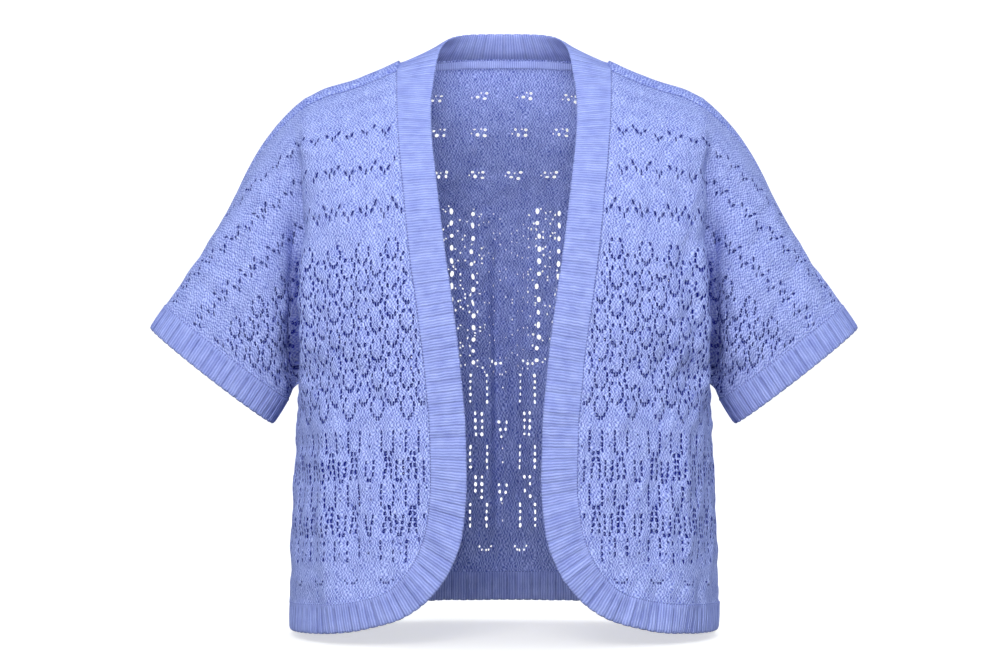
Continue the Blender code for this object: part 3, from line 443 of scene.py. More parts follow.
def creaseHeight(panel, points):
    x, y, z = points[..., 0], points[..., 1], points[..., 2]
    out = np.zeros(x.shape)
    for which, start, end, width, depth in creases["lines"]:
        if which == panel:
            near, taper = nearLine(points, start, end)
            out += depth * np.exp(-((near / width) ** 2)) * taper
    for across, down, turn, height in creases["waves"]:
        sway = creases["waveSway"] * np.sin(2 * math.pi * z / down + turn)
        out += height * np.sin(2 * math.pi * (x + creases["waveLean"] * y) / across + sway)
    return out


# The cloth with its creases: everything below is laid on this.
def surfacePoint(panel, q, v):
    points = clothPoint(panel, q, v)
    far, over = np.abs(q), creases["fades"]
    onSleeve = smoothstep((far - 1) / over["side"] + 0.5)
    fade = smoothstep(v / over["shoulder"]) * smoothstep((2 - far) / over["cuff"])
    fade *= 1 - onSleeve * (1 - smoothstep((armpit - v) / over["underarm"]))
    return points + clothNormal(panel, q, v) * (creaseHeight(panel, points) * fade)[..., None]


# Rows of cloth and their lengths.
knit = {"stitch": 0.0025, "row": 0.00281, "upperRows": 121, "lowerRows": 77}
rowV = np.concatenate([
    np.linspace(0, armpit, knit["upperRows"] + 1),
    np.linspace(armpit, hemSeam, knit["lowerRows"] + 1)[1:],
])
rowCount = len(rowV)
arcQ = np.linspace(0, 2, 401)


def rowArcs(panel):
    q, v = np.meshgrid(arcQ, rowV)
    step = np.linalg.norm(np.diff(clothPoint(panel, q, v), axis=1), axis=2)
    return np.concatenate([np.zeros((rowCount, 1)), np.cumsum(step, 1)], 1)


arcs = {panel: rowArcs(panel) for panel in ("front", "back")}


def rowAt(v):
    return np.interp(v, rowV, np.arange(rowCount))


def vAt(row):
    return np.interp(row, np.arange(rowCount), rowV)


# Length along the row from the centre, at q and v, and back again.
def arcAt(panel, q, v):
    q, v = np.broadcast_arrays(*(np.atleast_1d(np.asarray(each, float)) for each in (q, v)))
    row = rowAt(v)
    low = np.minimum(row.astype(int), rowCount - 2)
    lengths = np.empty(q.shape)
    for k in np.unique(low):
        pick = low == k
        near = np.interp(np.abs(q[pick]), arcQ, arcs[panel][k])
        far = np.interp(np.abs(q[pick]), arcQ, arcs[panel][k + 1])
        lengths[pick] = near + (far - near) * (row[pick] - k)
    return np.sign(q) * lengths


def qAt(panel, arc, row):
    low = np.clip(row.astype(int), 0, rowCount - 2)
    q = np.empty(arc.shape)
    for k in np.unique(low):
        pick = low == k
        near = np.interp(np.abs(arc[pick]), arcs[panel][k], arcQ)
        far = np.interp(np.abs(arc[pick]), arcs[panel][k + 1], arcQ)
        q[pick] = near + (far - near) * (row[pick] - k)
    return np.sign(arc) * q


# On the sleeves the knitted rows run off the overarm seam: the knitted row at q and v.
slip = {"most": 0.064, "until": 0.180, "reach": 0.75}


def slipShare(q):
    return np.clip((np.abs(q) - valleyQ) / slip["reach"], 0, 1)


def knitRow(q, v):
    return v + slip["most"] * slipShare(q) * np.clip(1 - v / slip["until"], 0, 1)


def clothRow(q, row):
    share = slip["most"] * slipShare(q)
    return np.where(row < slip["until"], (row - share) / (1 - share / slip["until"]), row)


# The band's lines, from the side seam along the hem, up the front and round the neck.
def bandLines(hand=1):
    chord = np.array([[row[0] + row[2], row[1] + row[3]] for row in bandRows]) / 2
    knots = np.concatenate([[0], np.cumsum(np.linalg.norm(np.diff(chord, axis=0), axis=1))])
    knots /= knots[-1]
    fine = np.linspace(0, 1, 700)
    columns = list(zip(*bandRows))
    seamX, seamZ, edgeX, edgeZ = (smoothCurve(knots, column, fine) for column in columns)
    q, v = clothPlace("front", seamX, seamZ)
    q[0], v[0] = 1.0, hemSeam
    q[-1], v[-1] = arcQOf(neckReach), 0.0
    edgeQ, edgeV = clothPlace("front", edgeX, edgeZ)
    edge = surfacePoint("front", edgeQ * hand, edgeV)
    edge[:, 0], edge[:, 2] = edgeX * hand, edgeZ
    leave = smoothstep((edgeZ - bandLean["from"]) / (bandLean["to"] - bandLean["from"]))
    straight = -bandLean["ahead"] - bandLean["slope"] * (bandLean["top"] - edgeZ)
    edge[:, 1] += (straight - edge[:, 1]) * leave
    seam = surfacePoint("front", q * hand, v)
    reach = np.linspace(neckReach, 0, 260)[1:]
    neckQ, neckV = arcQOf(reach), neckAt("cloth", reach)
    neckSeam = surfacePoint("back", neckQ * hand, neckV)
    length = np.concatenate([[0], np.cumsum(np.linalg.norm(np.diff(neckSeam, axis=0), axis=1))])
    rim = np.array(neckEdge)
    rimKnots = np.concatenate([[0], np.cumsum(np.linalg.norm(np.diff(rim, axis=0), axis=1))])
    share = (length + length[1]) / (length[-1] + length[1])
    rimKnots /= rimKnots[-1]
    neckRim = np.stack([smoothCurve(rimKnots, rim[:, i], share) for i in range(3)], -1)
    return {
        "q": q, "v": v, "neckQ": neckQ, "neckV": neckV,
        "seam": np.concatenate([seam, neckSeam]),
        "edge": np.concatenate([edge, neckRim * (hand, 1, 1)]),
    }


# The q at the top row of a reach from the centre.
def arcQOf(reach):
    half = frontRow("half", 0.0)
    return np.arcsin((np.asarray(reach) / half) ** (squareness / 2)) * 2 / math.pi


bandLine = bandLines()
print("band lines laid")


# The outlines of the panels, in stitches across and rows down.
def places(panel, q, v):
    return np.stack([arcAt(panel, q, v) / knit["stitch"], rowAt(v) * np.ones(np.shape(q))], -1)


def sideLines(panel):
    upper, lower = rowV[: knit["upperRows"] + 1], rowV[knit["upperRows"] :]
    cuffLine = places(panel, np.full(len(upper), 2.0), upper)
    sideLine = places(panel, np.full(len(lower), 1.0), lower)
    return [cuffLine, sideLine]


def frontOutline():
    seam = places("front", bandLine["q"], bandLine["v"])[::3]
    top = places("front", bandLine["q"][-1:], np.zeros(1))
    return np.concatenate([*sideLines("front"), seam[1:], top])


def backOutline():
    neck = places("back", bandLine["neckQ"], bandLine["neckV"])[::-6][1:]
    top = places("back", bandLine["q"][-1:], np.zeros(1))
    half = np.concatenate([neck, top, *sideLines("back")])
    return np.concatenate([half, half[::-1] * (-1, 1)])


outlines = {"front": frontOutline(), "back": backOutline()}


# Distance inside an outline, in stitches: minus outside it.
def edgeDistance(x, y, outline):
    best = np.full(x.shape, 1e9)
    odd = np.zeros(x.shape, bool)
    for (x0, y0), (x1, y1) in zip(outline, np.roll(outline, -1, 0)):
        dx, dy = x1 - x0, y1 - y0
        t = np.clip(((x - x0) * dx + (y - y0) * dy) / max(dx * dx + dy * dy, 1e-12), 0, 1)
        best = np.minimum(best, (x - x0 - t * dx) ** 2 + (y - y0 - t * dy) ** 2)
        if abs(dy) > 1e-9:
            odd ^= ((y0 > y) != (y1 > y)) & (x < dx * (y - y0) / dy + x0)
    return np.where(odd, 1.0, -1.0) * np.sqrt(best)


# The lace, as charted: each gap is its place along the row and down, its width, its height
# and its lean, in metres.
lace = {
    "span": 0.46,
    "farthest": 0.43,  # from the centre along the row
    "stroke": (0.0013, 0.0056),
    "arrowDot": (0.0020, 0.0021),
    "bigArrow": (
        (-0.0084, -0.0078, -0.45), (-0.0050, -0.0012, -0.40), (0.0000, 0.0024, 0.0),
        (0.0050, -0.0018, 0.40), (0.0080, -0.0086, 0.45), (-0.0012, -0.0046, -0.1),
    ),
    "smallArrow": ((-0.0042, -0.0042, -0.40), (-0.0008, 0.0016, -0.1), (0.0030, -0.0036, 0.40)),
    "hemArrow": (
        (-0.0068, -0.0024, -0.9), (-0.0036, -0.0004, -0.9), (0.0, 0.0010, 0.0),
        (0.0036, -0.0004, 0.9), (0.0068, -0.0024, 0.9),
    ),
    "openArrow": (  # on the back, where the holes are drawn wide: place, width, height
        (-0.0034, 0.0000, 0.0046, 0.0046), (0.0040, 0.0012, 0.0046, 0.0044),
        (-0.0062, -0.0052, 0.0032, 0.0030), (0.0052, -0.0050, 0.0038, 0.0034),
        (-0.0096, -0.0010, 0.0021, 0.0023), (0.0000, -0.0052, 0.0021, 0.0023),
    ),
    "arrowRows": ((0.086, 0.84), (0.131, 0.95), (0.176, 1.10)),
    "openArrowRows": ((0.091, 0.0235, 0.0470), (0.134, 0.0181, 0.0425), (0.180, 0.0110, 0.0380)),
    "arrowPitch": 0.036,
    "arrowStart": 0.098,
    "smallArrowLower": 0.004,
    "hemArrowRow": 0.538,
    "hemArrowPitch": 0.0370,
    "hemArrowReach": 0.26,
    "hemArrowSize": 0.9,
    "disc": (  # round each plain disc of the honeycomb: stitches across, rows down, height, lean
        (-1.5, -3, 0.0044, 0.30), (1.5, -3, 0.0044, -0.30),
        (-2.5, -1, 0.0050, 0.12), (2.5, -1, 0.0050, -0.12),
        (-2.5, 1, 0.0050, -0.12), (2.5, 1, 0.0050, 0.12),
        (-1.5, 3, 0.0050, -0.30), (1.5, 3, 0.0050, 0.30),
        (-0.5, 4, 0.0046, -0.15), (0.5, 4, 0.0046, 0.15),
    ),
    "discGap": 0.0017,
    # the discs' first one, how far apart, in stitches and rows, and the knitted rows they lie in
    "cells": {
        "first": (49, 92), "across": 12, "down": 10, "rows": (76, 133), "missed": 0.08,
        "columns": (-16, 22), "ranks": (-3, 9),
    },
    "mesh": {
        "big": (
            -0.2300, -0.2082, -0.1864, -0.1646, -0.1428, -0.1210, -0.0990, -0.0776, -0.0556, -0.0336,
            0.0365, 0.0582, 0.0800, 0.1020, 0.1238, 0.1456, 0.1674, 0.1892, 0.2110, 0.2328,
        ),
        "small": (-0.0215, -0.0160, -0.0100, -0.0040, 0.0020, 0.0080, 0.0140, 0.0200, 0.0255),
        "sleeve": {"first": 0.2546, "apart": 0.0218, "count": 8},
        "down": 0.0129, "first": 0.2255, "count": 13, "stagger": 0.0030,
        "gap": (0.0041, 0.0064), "lean": 0.12,
        # the little gaps strewn round each big one: how far off, and how big
        "around": {"x": 0.0105, "y": 0.0066, "wide": 0.0021, "high": (0.0018, 0.0034), "lean": 0.3},
        "aroundCount": {"middle": 4, "side": 2, "until": 0.12},
        "smallGap": (0.0011, 0.0019), "smallShare": 0.7,
    },
    "leafRows": {"front": (0.4099, 0.4620), "back": (0.4164, 0.4684)},
    "leafSkip": {"front": 1, "back": 2},
    "veeLower": {"front": 0.0029, "back": 0.0020},
    "columnRows": {
        "front": ((0.3955, 4), (0.4469, 4), (0.4992, 4)),
        "back": ((0.3955, 5), (0.4550, 4), (0.5028, 4)),
    },
    "leafPitch": 0.00563,
    "columnPitch": 0.00563,
    "betweenRows": (0, 2),  # beside these holes of a column there is a small one between columns
    "betweenGap": (0.0011, 0.0022),
    "betweenLower": 0.001,
    # width, height, lean
    "columnGap": {"front": (0.0020, 0.0043, 0.1), "back": (0.0025, 0.0036, 0.1)},
    "leafGap": {"front": (0.0020, 0.0042, -0.28), "back": (0.0028, 0.0034, 0.1)},
    "veeGap": {"front": (0.0020, 0.0041, -0.22), "back": (0.0026, 0.0032, 0.2)},
    "hemArrowStart": {"front": 0.113, "back": -0.0198},
    "scallop": (
        (-0.0105, -0.0055), (-0.0068, 0.0000), (-0.0012, 0.0026), (0.0042, 0.0024), (0.0096, -0.0026),
    ),
    "scallopGap": 0.0034,
    "scallopMiddles": (-0.0073, 0.0270),
    "scallopRow": 0.3815,
    "columnHalf": {"front": 0.0061, "back": 0.0084},
    "narrow": {"share": 0.84, "from": 0.105, "over": 0.03},  # where the back isn't seen through
    "leafCentres": {
        "front": (0.0600, 0.0875, 0.1125, 0.1475, 0.1725, 0.1975, 0.2250, 0.2525, 0.2780),
        "back": (-0.2860, -0.2430, -0.2000, -0.1570, -0.1140, -0.0705, -0.0275, 0.0250, 0.0680,
                 0.1110, 0.1540, 0.1970, 0.2400, 0.2830),
    },
    "leafHalf": {
        "front": (0.0, 0.0023, 0.0024, 0.0025, 0.0027, 0.0030),
        "back": (0.0028, 0.0030, 0.0032, 0.0032, 0.0031, 0.0028),
    },
    "veeHalf": {
        "front": (0.0, 0.0, 0.0031, 0.0030, 0.0027, 0.0023),
        "back": (0.0, 0.0037, 0.0037, 0.0037, 0.0026, 0.0013),
    },
}


# A row of arrowheads, one shape at every pitch.
def arrowGaps(shape, row, start, pitch, reach, size, gap):
    found = []
    count = int(lace["span"] / pitch) + 1
    for k in range(-count, count + 1):
        middle = start + k * pitch
        if abs(middle) < reach:
            for dx, dy, lean in shape:
                found.append((middle + dx * size, row + dy * size, *gap, lean))
    return found


def frontArrows():
    gaps = []
    pitch, start = lace["arrowPitch"], lace["arrowStart"]
    reach, stroke = lace["farthest"], lace["stroke"]
    for row, size in lace["arrowRows"]:
        gaps += arrowGaps(lace["bigArrow"], row, start, pitch, reach, size, stroke)
        row, between = row + lace["smallArrowLower"], start + pitch / 2
        gaps += arrowGaps(lace["smallArrow"], row, between, pitch, reach, size, stroke)
    return gaps


def backArrows():
    gaps = []
    for row, first, apart in lace["openArrowRows"]:
        count = int(lace["farthest"] / apart)
        for k in range(-count, count):
            for dx, dy, w, h in lace["openArrow"]:
                gaps.append((first + k * apart + dx, row + dy, w, h, 0.0))
    return gaps


# The honeycomb of the fronts: plain discs, ringed by gaps.
def discGaps(rng):
    gaps, cells = [], lace["cells"]
    stitch, row, top, bottom = knit["stitch"], knit["row"], *cells["rows"]
    for i in range(*cells["columns"]):
        for j in range(*cells["ranks"]):
            x = cells["first"][0] + i * cells["across"] / 2
            y = cells["first"][1] + j * cells["down"] / 2
            if (i + j) % 2 == 0 and top <= y <= bottom:
                for dx, dy, high, lean in lace["disc"]:
                    if rng.random() > cells["missed"]:
                        gaps.append(((x + dx) * stitch, (y + dy) * row, lace["discGap"], high, lean))
    return gaps


# The back's mesh: big gaps in columns with little ones strewn round them, and scallops under it.
def meshGaps(rng):
    gaps, mesh = [], lace["mesh"]
    arm, around, count = mesh["sleeve"], mesh["around"], mesh["aroundCount"]
    steps = [arm["first"] + arm["apart"] * k for k in range(arm["count"])]
    sleeves = [side * step for side in (-1, 1) for step in steps]
    for j in range(mesh["count"]):
        for k, x in enumerate([*mesh["big"], *mesh["small"], *sleeves]):
            y = mesh["first"] + j * mesh["down"] + (mesh["stagger"] if k % 2 else 0)
            side = 1 if (k + j) % 2 else -1
            if x not in mesh["small"]:
                gaps.append((x, y, *mesh["gap"], mesh["lean"] * side))
                for _ in range(count["middle"] if abs(x) < count["until"] else count["side"]):
                    dx = rng.uniform(-around["x"], around["x"])
                    dy = rng.uniform(-around["y"], around["y"])
                    high = rng.uniform(*around["high"])
                    gaps.append((x + dx, y + dy, around["wide"], high, around["lean"] * side))
            elif rng.random() < mesh["smallShare"]:
                y = y + mesh["down"] * rng.random()
                gaps.append((x, y, *mesh["smallGap"], mesh["lean"] * side))
    low, wide = lace["scallopRow"], lace["scallopGap"]
    for x in lace["scallopMiddles"]:
        gaps += [(x + dx, low + dy, wide, wide, 0.0) for dx, dy in lace["scallop"]]
    return gaps


def laceGaps(panel, rng):
    gaps = frontArrows() if panel == "front" else backArrows()
    gaps += arrowGaps(
        lace["hemArrow"], lace["hemArrowRow"], lace["hemArrowStart"][panel], lace["hemArrowPitch"],
        lace["hemArrowReach"], lace["hemArrowSize"], lace["arrowDot"],
    )
    gaps += discGaps(rng) if panel == "front" else meshGaps(rng)
    centres = lace["leafCentres"][panel]
    half = lace["columnHalf"][panel]
    middles = [(a + b) / 2 for a, b in zip(centres, centres[1:])]
    for first, count in lace["columnRows"][panel]:
        for k in range(count):
            y = first + k * lace["columnPitch"]
            w, h, lean = lace["columnGap"][panel]
            for c in centres:
                gaps += [(c - half, y, w, h, lean), (c + half, y, w, h, -lean)]
            if k in lace["betweenRows"]:
                gaps += [(m, y + lace["betweenLower"], *lace["betweenGap"], 0.0) for m in middles]
    for first in lace["leafRows"][panel]:
        for k in range(lace["leafSkip"][panel], 6):
            y = first + k * lace["leafPitch"]
            for c in centres:
                h = lace["leafHalf"][panel][k]
                w, high, lean = lace["leafGap"][panel]
                gaps += [(c - h, y, w, high, -lean), (c + h, y, w, high, lean)]
            for m in middles if k > lace["leafSkip"][panel] else []:
                h = lace["veeHalf"][panel][k]
                w, high, lean = lace["veeGap"][panel]
                low = y + lace["veeLower"][panel]
                gaps += [(m - h, low, w, high, lean), (m + h, low, w, high, -lean)]
    if panel == "back":
        least, start, over = (lace["narrow"][key] for key in ("share", "from", "over"))
        narrow = [least + (1 - least) * float(smoothstep((start - abs(gap[0])) / over)) for gap in gaps]
        gaps = [(x, y, w * k, h * k, lean) for (x, y, w, h, lean), k in zip(gaps, narrow)]
    return gaps


# Small domes where the lace draws the plain discs out, and ripples between the leaves.
relief = {
    "disc": 0.0014, "leaf": 0.0007, "seam": 0.0010,
    "round": 1.5, "level": 0.35,  # of the domes
    "backDiscs": (0.0436, 0.0264, (0.0474, 0.2326)),  # across, down, the first one
    "discFades": (0.012, 0.016),
    "leaves": ((0.392, 0.006), (0.522, 0.008)),  # where the ripples begin and end, over what height
    "ripple": 0.015,
    "edgeStitches": 4,  # the relief dies out this near a panel's edge
}


def laceRelief(panel, arc, row):
    cells = lace["cells"]
    top, bottom = (edge * knit["row"] for edge in cells["rows"])
    over, past = relief["discFades"]
    inCells = smoothstep((row - top + over) / over) * smoothstep((bottom + past - row) / over)
    if panel == "front":
        across, down = cells["across"] * knit["stitch"], cells["down"] * knit["row"]
        start = (cells["first"][0] * knit["stitch"], cells["first"][1] * knit["row"])
    else:
        across, down, start = relief["backDiscs"]
    x, y = 2 * math.pi * (arc - start[0]) / across, 2 * math.pi * (row - start[1]) / down
    dome = (0.5 + 0.5 * np.cos(x) * np.cos(y)) ** relief["round"]
    (begin, beginOver), (end, endOver) = relief["leaves"]
    inLeaves = smoothstep((row - begin) / beginOver) * smoothstep((end - row) / endOver)
    centres = np.array(lace["leafCentres"][panel])
    near = np.min(np.abs(arc[..., None] - centres), -1)
    ripple = np.cos(math.pi * near / relief["ripple"])
    return relief["disc"] * (dome - relief["level"]) * inCells - relief["leaf"] * ripple * inLeaves


# Triangles between a block's border and the ring in it.
def zipped(border, ring, placesOf, middle):
    def turned(loop):
        steps = [(placesOf[i][0] - middle[0], placesOf[i][1] - middle[1]) for i in loop]
        angle = [math.atan2(dy, dx) % (2 * math.pi) for dx, dy in steps]
        order = sorted(range(len(loop)), key=lambda k: angle[k])
        return [loop[k] for k in order], [angle[k] for k in order]

    outer, outerAngle = turned(border)
    inner, innerAngle = turned(ring)
    outerAngle.append(outerAngle[0] + 2 * math.pi)
    innerAngle.append(innerAngle[0] + 2 * math.pi)
    faces, i, j = [], 0, 0
    while i < len(outer) or j < len(inner):
        a, b = outer[i % len(outer)], inner[j % len(inner)]
        if j == len(inner) or (i < len(outer) and outerAngle[i + 1] <= innerAngle[j + 1]):
            i += 1
            faces.append((a, outer[i % len(outer)], b))
        else:
            j += 1
            faces.append((a, inner[j % len(inner)], b))
    return faces


cut = {
    "points": 8,
    "room": 0.10,  # kept between a gap and its block of cells, in cells
    "clear": 1.2,  # no gap is nearer a panel's edge, in stitches
    "wide": 0.00113, "tall": 0.0023, "tallWide": 0.003, "taller": 0.0055,  # what takes more cells
    "place": 0.08, "size": 0.17, "lean": 0.10,  # how unevenly the gaps are knitted
    "lowest": 0.006,
    "throat": {"front": 0.42, "back": 0.26},  # a gap narrows inwards to this share
    "open": 0.93,  # or to this one where the back is seen through
    "seenUntil": 0.115, "seenOver": 0.02,
}


def shownShare(panel, arc):
    return smoothstep((cut["seenUntil"] - np.abs(arc)) / cut["seenOver"]) * (panel == "back")


def gapPlaces(panel, gaps, rng):
    gaps = np.array(gaps)
    arc, row = gaps[:, 0], gaps[:, 1]
    v = row
    for _ in range(3):
        v = clothRow(qAt(panel, arc, rowAt(v)), row)
    kept = v > cut["lowest"]
    gaps, arc, v = gaps[kept], arc[kept], v[kept]
    scatter = np.clip(rng.normal(size=(len(gaps), 5)), -2, 2)
    middle = np.stack([arc / knit["stitch"], rowAt(v)], -1) + cut["place"] * scatter[:, :2]
    grow = 1 + cut["size"] * scatter[:, 2:4]
    least = cut["throat"][panel]
    throat = least + (cut["open"] - least) * shownShare(panel, arc)
    return middle, gaps[:, 2:4], grow, gaps[:, 4] + cut["lean"] * scatter[:, 4], throat


# How many cells a gap takes, across and down.
def blockSize(width, height, turn):
    reach = math.hypot(width / 2 * math.cos(turn), height / 2 * math.sin(turn))
    across = 1 if reach <= cut["wide"] else 2
    down = 1 if height <= cut["tall"] and width <= cut["tallWide"] else 2
    return across, down + (height > cut["taller"])


# The gap's oval round its middle, in cells, made to fit its block.
def ovalSteps(width, height, turn, across, down):
    angle = np.linspace(0, 2 * math.pi, cut["points"], endpoint=False)
    oval = np.stack([np.cos(angle) * width / 2, np.sin(angle) * height / 2], -1)
    turned = np.array([[math.cos(turn), math.sin(turn)], [-math.sin(turn), math.cos(turn)]])
    oval = oval @ turned / (knit["stitch"], armpit / knit["upperRows"])
    room = np.array([across, down]) / 2 - cut["room"]
    return oval * min(1.0, *(room / np.abs(oval).max(0)))


# One layer of stitch cells, cut on the panel's outline, with the charted gaps: the places of its
# points, its faces, how far in each point lies, whether it is on a gap's rim, and how many gaps.
def panelCells(panel, seed):
    rng = np.random.default_rng(seed)
    outline = outlines[panel]
    low, high = math.floor(outline[:, 0].min()) - 1, math.ceil(outline[:, 0].max()) + 2
    x, y = np.meshgrid(np.arange(low, high), np.arange(rowCount))
    distance = edgeDistance(x.astype(float), y.astype(float), outline)
    inside = distance > 1e-4
    index = np.full(x.shape, -1)
    index[inside] = np.arange(inside.sum())
    spots = [tuple(spot) for spot in np.stack([x[inside], y[inside]], -1).astype(float)]
    depth = [float(d) for d in distance[inside]]
    rim = [0.0] * len(spots)
    crossings = {}

    def crossing(here, there):
        if (here, there) not in crossings:
            t = distance[here] / (distance[here] - distance[there])
            crossings[here, there] = len(spots)
            spots.append((x[here] + (x[there] - x[here]) * t, y[here] + (y[there] - y[here]) * t))
            depth.append(0.0)
            rim.append(0.0)
        return crossings[here, there]

    whole = inside[:-1, :-1] & inside[:-1, 1:] & inside[1:, :-1] & inside[1:, 1:]
    some = inside[:-1, :-1] | inside[:-1, 1:] | inside[1:, :-1] | inside[1:, 1:]
    faces = []
    for row, column in zip(*np.nonzero(some & ~whole)):
        corners = [(row, column), (row, column + 1), (row + 1, column + 1), (row + 1, column)]
        face = []
        for here, there in zip(corners, corners[1:] + corners[:1]):
            if inside[here]:
                face.append(int(index[here]))
            if inside[here] != inside[there]:
                face.append(crossing(here, there) if inside[here] else crossing(there, here))
        if len(face) > 2:
            faces.append(face)
    taken = np.zeros(whole.shape, bool)
    made = 0
    found = gapPlaces(panel, laceGaps(panel, rng), rng)
    for centre, (width, height), grow, turn, inward in zip(*found):
        across, down = blockSize(width, height, turn)
        left, top = round(centre[0] - across / 2), round(centre[1] - down / 2)
        first, last = left - low, left - low + across
        if top < 1 or top + down > rowCount - 2 or first < 1 or last > x.shape[1] - 2:
            continue
        block = (slice(top, top + down), slice(first, last))
        near = distance[top : top + down + 1, first : last + 1].min()
        if taken[block].any() or not whole[block].all() or near < cut["clear"]:
            continue
        taken[block] = True
        oval = ovalSteps(width * grow[0], height * grow[1], turn, across, down)
        reach = np.abs(oval).max(0) + cut["room"] * 0.8
        centre = np.clip(centre, (left, top) + reach, (left + across, top + down) - reach)
        ring = list(range(len(spots), len(spots) + len(oval)))
        spots.extend(tuple(centre + step) for step in np.concatenate([oval, oval * inward]))
        depth.extend([float(near)] * 2 * len(oval))
        rim.extend([1.0] * len(oval) + [2.0] * len(oval))
        after = ring[1:] + ring[:1]
        faces += [(a, b, b + len(oval), a + len(oval)) for a, b in zip(ring, after)]
        border = [*index[top, first : last + 1], *index[top + down, first : last + 1]]
        border += [index[top + k, side] for k in range(1, down) for side in (first, last)]
        faces += zipped([int(i) for i in border], ring, spots, centre)
        made += 1
    for row, column in zip(*np.nonzero(whole & ~taken)):
        corners = ((row, column), (row, column + 1), (row + 1, column + 1), (row + 1, column))
        faces.append([int(index[corner]) for corner in corners])
    return np.array(spots), faces, np.array(depth), np.array(rim), made


def meshObject(name, points, faces, spots, shade, material):
    mesh = bpy.data.meshes.new(name)
    mesh.from_pydata([tuple(p) for p in points], [], faces)
    layer = mesh.uv_layers.new(name="cloth")
    loops = np.array([loop.vertex_index for loop in mesh.loops])
    layer.data.foreach_set("uv", np.asarray(spots)[loops].astype(float).ravel())
    # the painted shade of each point
    mark = mesh.attributes.new("paintedShade", "FLOAT", "POINT")
    mark.data.foreach_set("value", np.asarray(shade, float))
    mesh.shade_smooth()
    mesh.materials.append(material)
    piece = bpy.data.objects.new(name, mesh)
    bpy.context.scene.collection.objects.link(piece)
    return piece


# How much painted shade darkens the gaps' rims and the sewn edges, how far they sink, and how wide a
# seam is.
shades = {
    "seam": 0.78, "open": 0.55, "rimSinks": 0.0003, "throatSinks": 0.0011,
    "seamWidth": 0.0014, "joined": 0.008, "sideFrom": 0.97,
}


def lacePiece(spec, material):
    panel, hand = spec["panel"], spec["hand"]
    spots, faces, depth, rim, made = panelCells(panel, spec["seed"])
    arc = spots[:, 0] * knit["stitch"]
    v = vAt(spots[:, 1])
    q = qAt(panel, arc, spots[:, 1])
    row = knitRow(q, v)
    fade = smoothstep(depth / relief["edgeStitches"])
    underarm = (np.abs(q) > shades["sideFrom"]) & (v > armpit - shades["joined"])
    joined = (v < shades["joined"]) | underarm
    # Along the sewn seams: a real groove in the cloth, and painted shade along it.
    seam = np.exp(-((depth * knit["stitch"] / shades["seamWidth"]) ** 2)) * joined
    shown = shownShare(panel, arc)
    sink = shades["rimSinks"] * np.minimum(rim, 1)
    sink = sink + shades["throatSinks"] * (1 - shown) * np.maximum(rim - 1, 0)
    height = laceRelief(panel, arc, row) * fade - relief["seam"] * seam - sink
    points = surfacePoint(panel, q * hand, v) + clothNormal(panel, q * hand, v) * height[:, None]
    # Painted shade in the sleeve's fold beside the front.
    start, end, wide, dark = creases["paintedFoldShade"]
    near, taper = nearLine(clothPoint(panel, q, v), start, end)
    paintedFoldShade = dark * np.exp(-((near / wide) ** 2)) * taper * (panel == "front")
    if (panel == "front") == (hand > 0):
        faces = [face[::-1] for face in faces]
    # Painted shade on the gaps' rims, less where the back is seen through.
    paintedRimShade = (1.0 - shades["open"] * shown) * np.minimum(rim, 1)
    shade = np.clip(paintedFoldShade + shades["seam"] * seam + paintedRimShade, 0, 1)
    piece = meshObject(spec["name"], points, faces, np.stack([arc, row], -1), shade, material)
    print(spec["name"], sum(len(face) - 2 for face in faces), "triangles", made, "gaps")
    return piece


# Ribbed strips: closed walls knitted sideways, with a lip over the panel's seam.
strip = {
    "perRib": 12, "raise": 0.0007, "lip": 0.0016, "scallop": 0.0006, "scallopFrom": 0.9,
    "smoothRounds": 12,
    "groove": 0.14,  # half its width, in ribs
    "uneven": ((0.12, 2.1, 0.0), (0.10, 0.73, 1.0)),  # how much, how often, where it starts
    "grooveUneven": (0.4, 2.4),
    # the painted shade in the rib grooves:
    "foot": (1.15, 0.5),  # a groove is darkest at the seam, and loses this much to the edge
    # share of the width or of the lip, rib share, height, on the outer face
    "outer": (
        (-1.0, 0.0, 0.0002), (-0.6, 0.0, 0.0007), (0.0, 0.0, 0.0008), (0.05, 0.1, 0.0005),
        (0.12, 0.8, 0.0001), (0.30, 1.0, 0.0001), (0.50, 1.0, 0.0002), (0.70, 1.0, 0.0001),
        (0.88, 0.9, 0.0), (0.97, 0.5, -0.0004),
    ),
    "inner": (
        (1.0, 0.0, -0.0011), (0.97, -0.2, -0.0019), (0.80, -0.5, -0.0022), (0.40, -0.5, -0.0022),
        (0.04, -0.2, -0.0022), (0.0, 0.0, -0.0004),
    ),
}
# Painted shade darkens the colour towards the hollows by this power.
paintedShadePower = 2.6  # how sharply a surface darkens towards its hollows


def smoothAlong(values, closed):
    for _ in range(strip["smoothRounds"]):
        if closed:
            values = (np.roll(values, 1, 0) + 2 * values + np.roll(values, -1, 0)) / 4
        else:
            inner = (values[:-2] + 2 * values[1:-1] + values[2:]) / 4
            values = np.concatenate([values[:1], inner, values[-1:]])
    return values
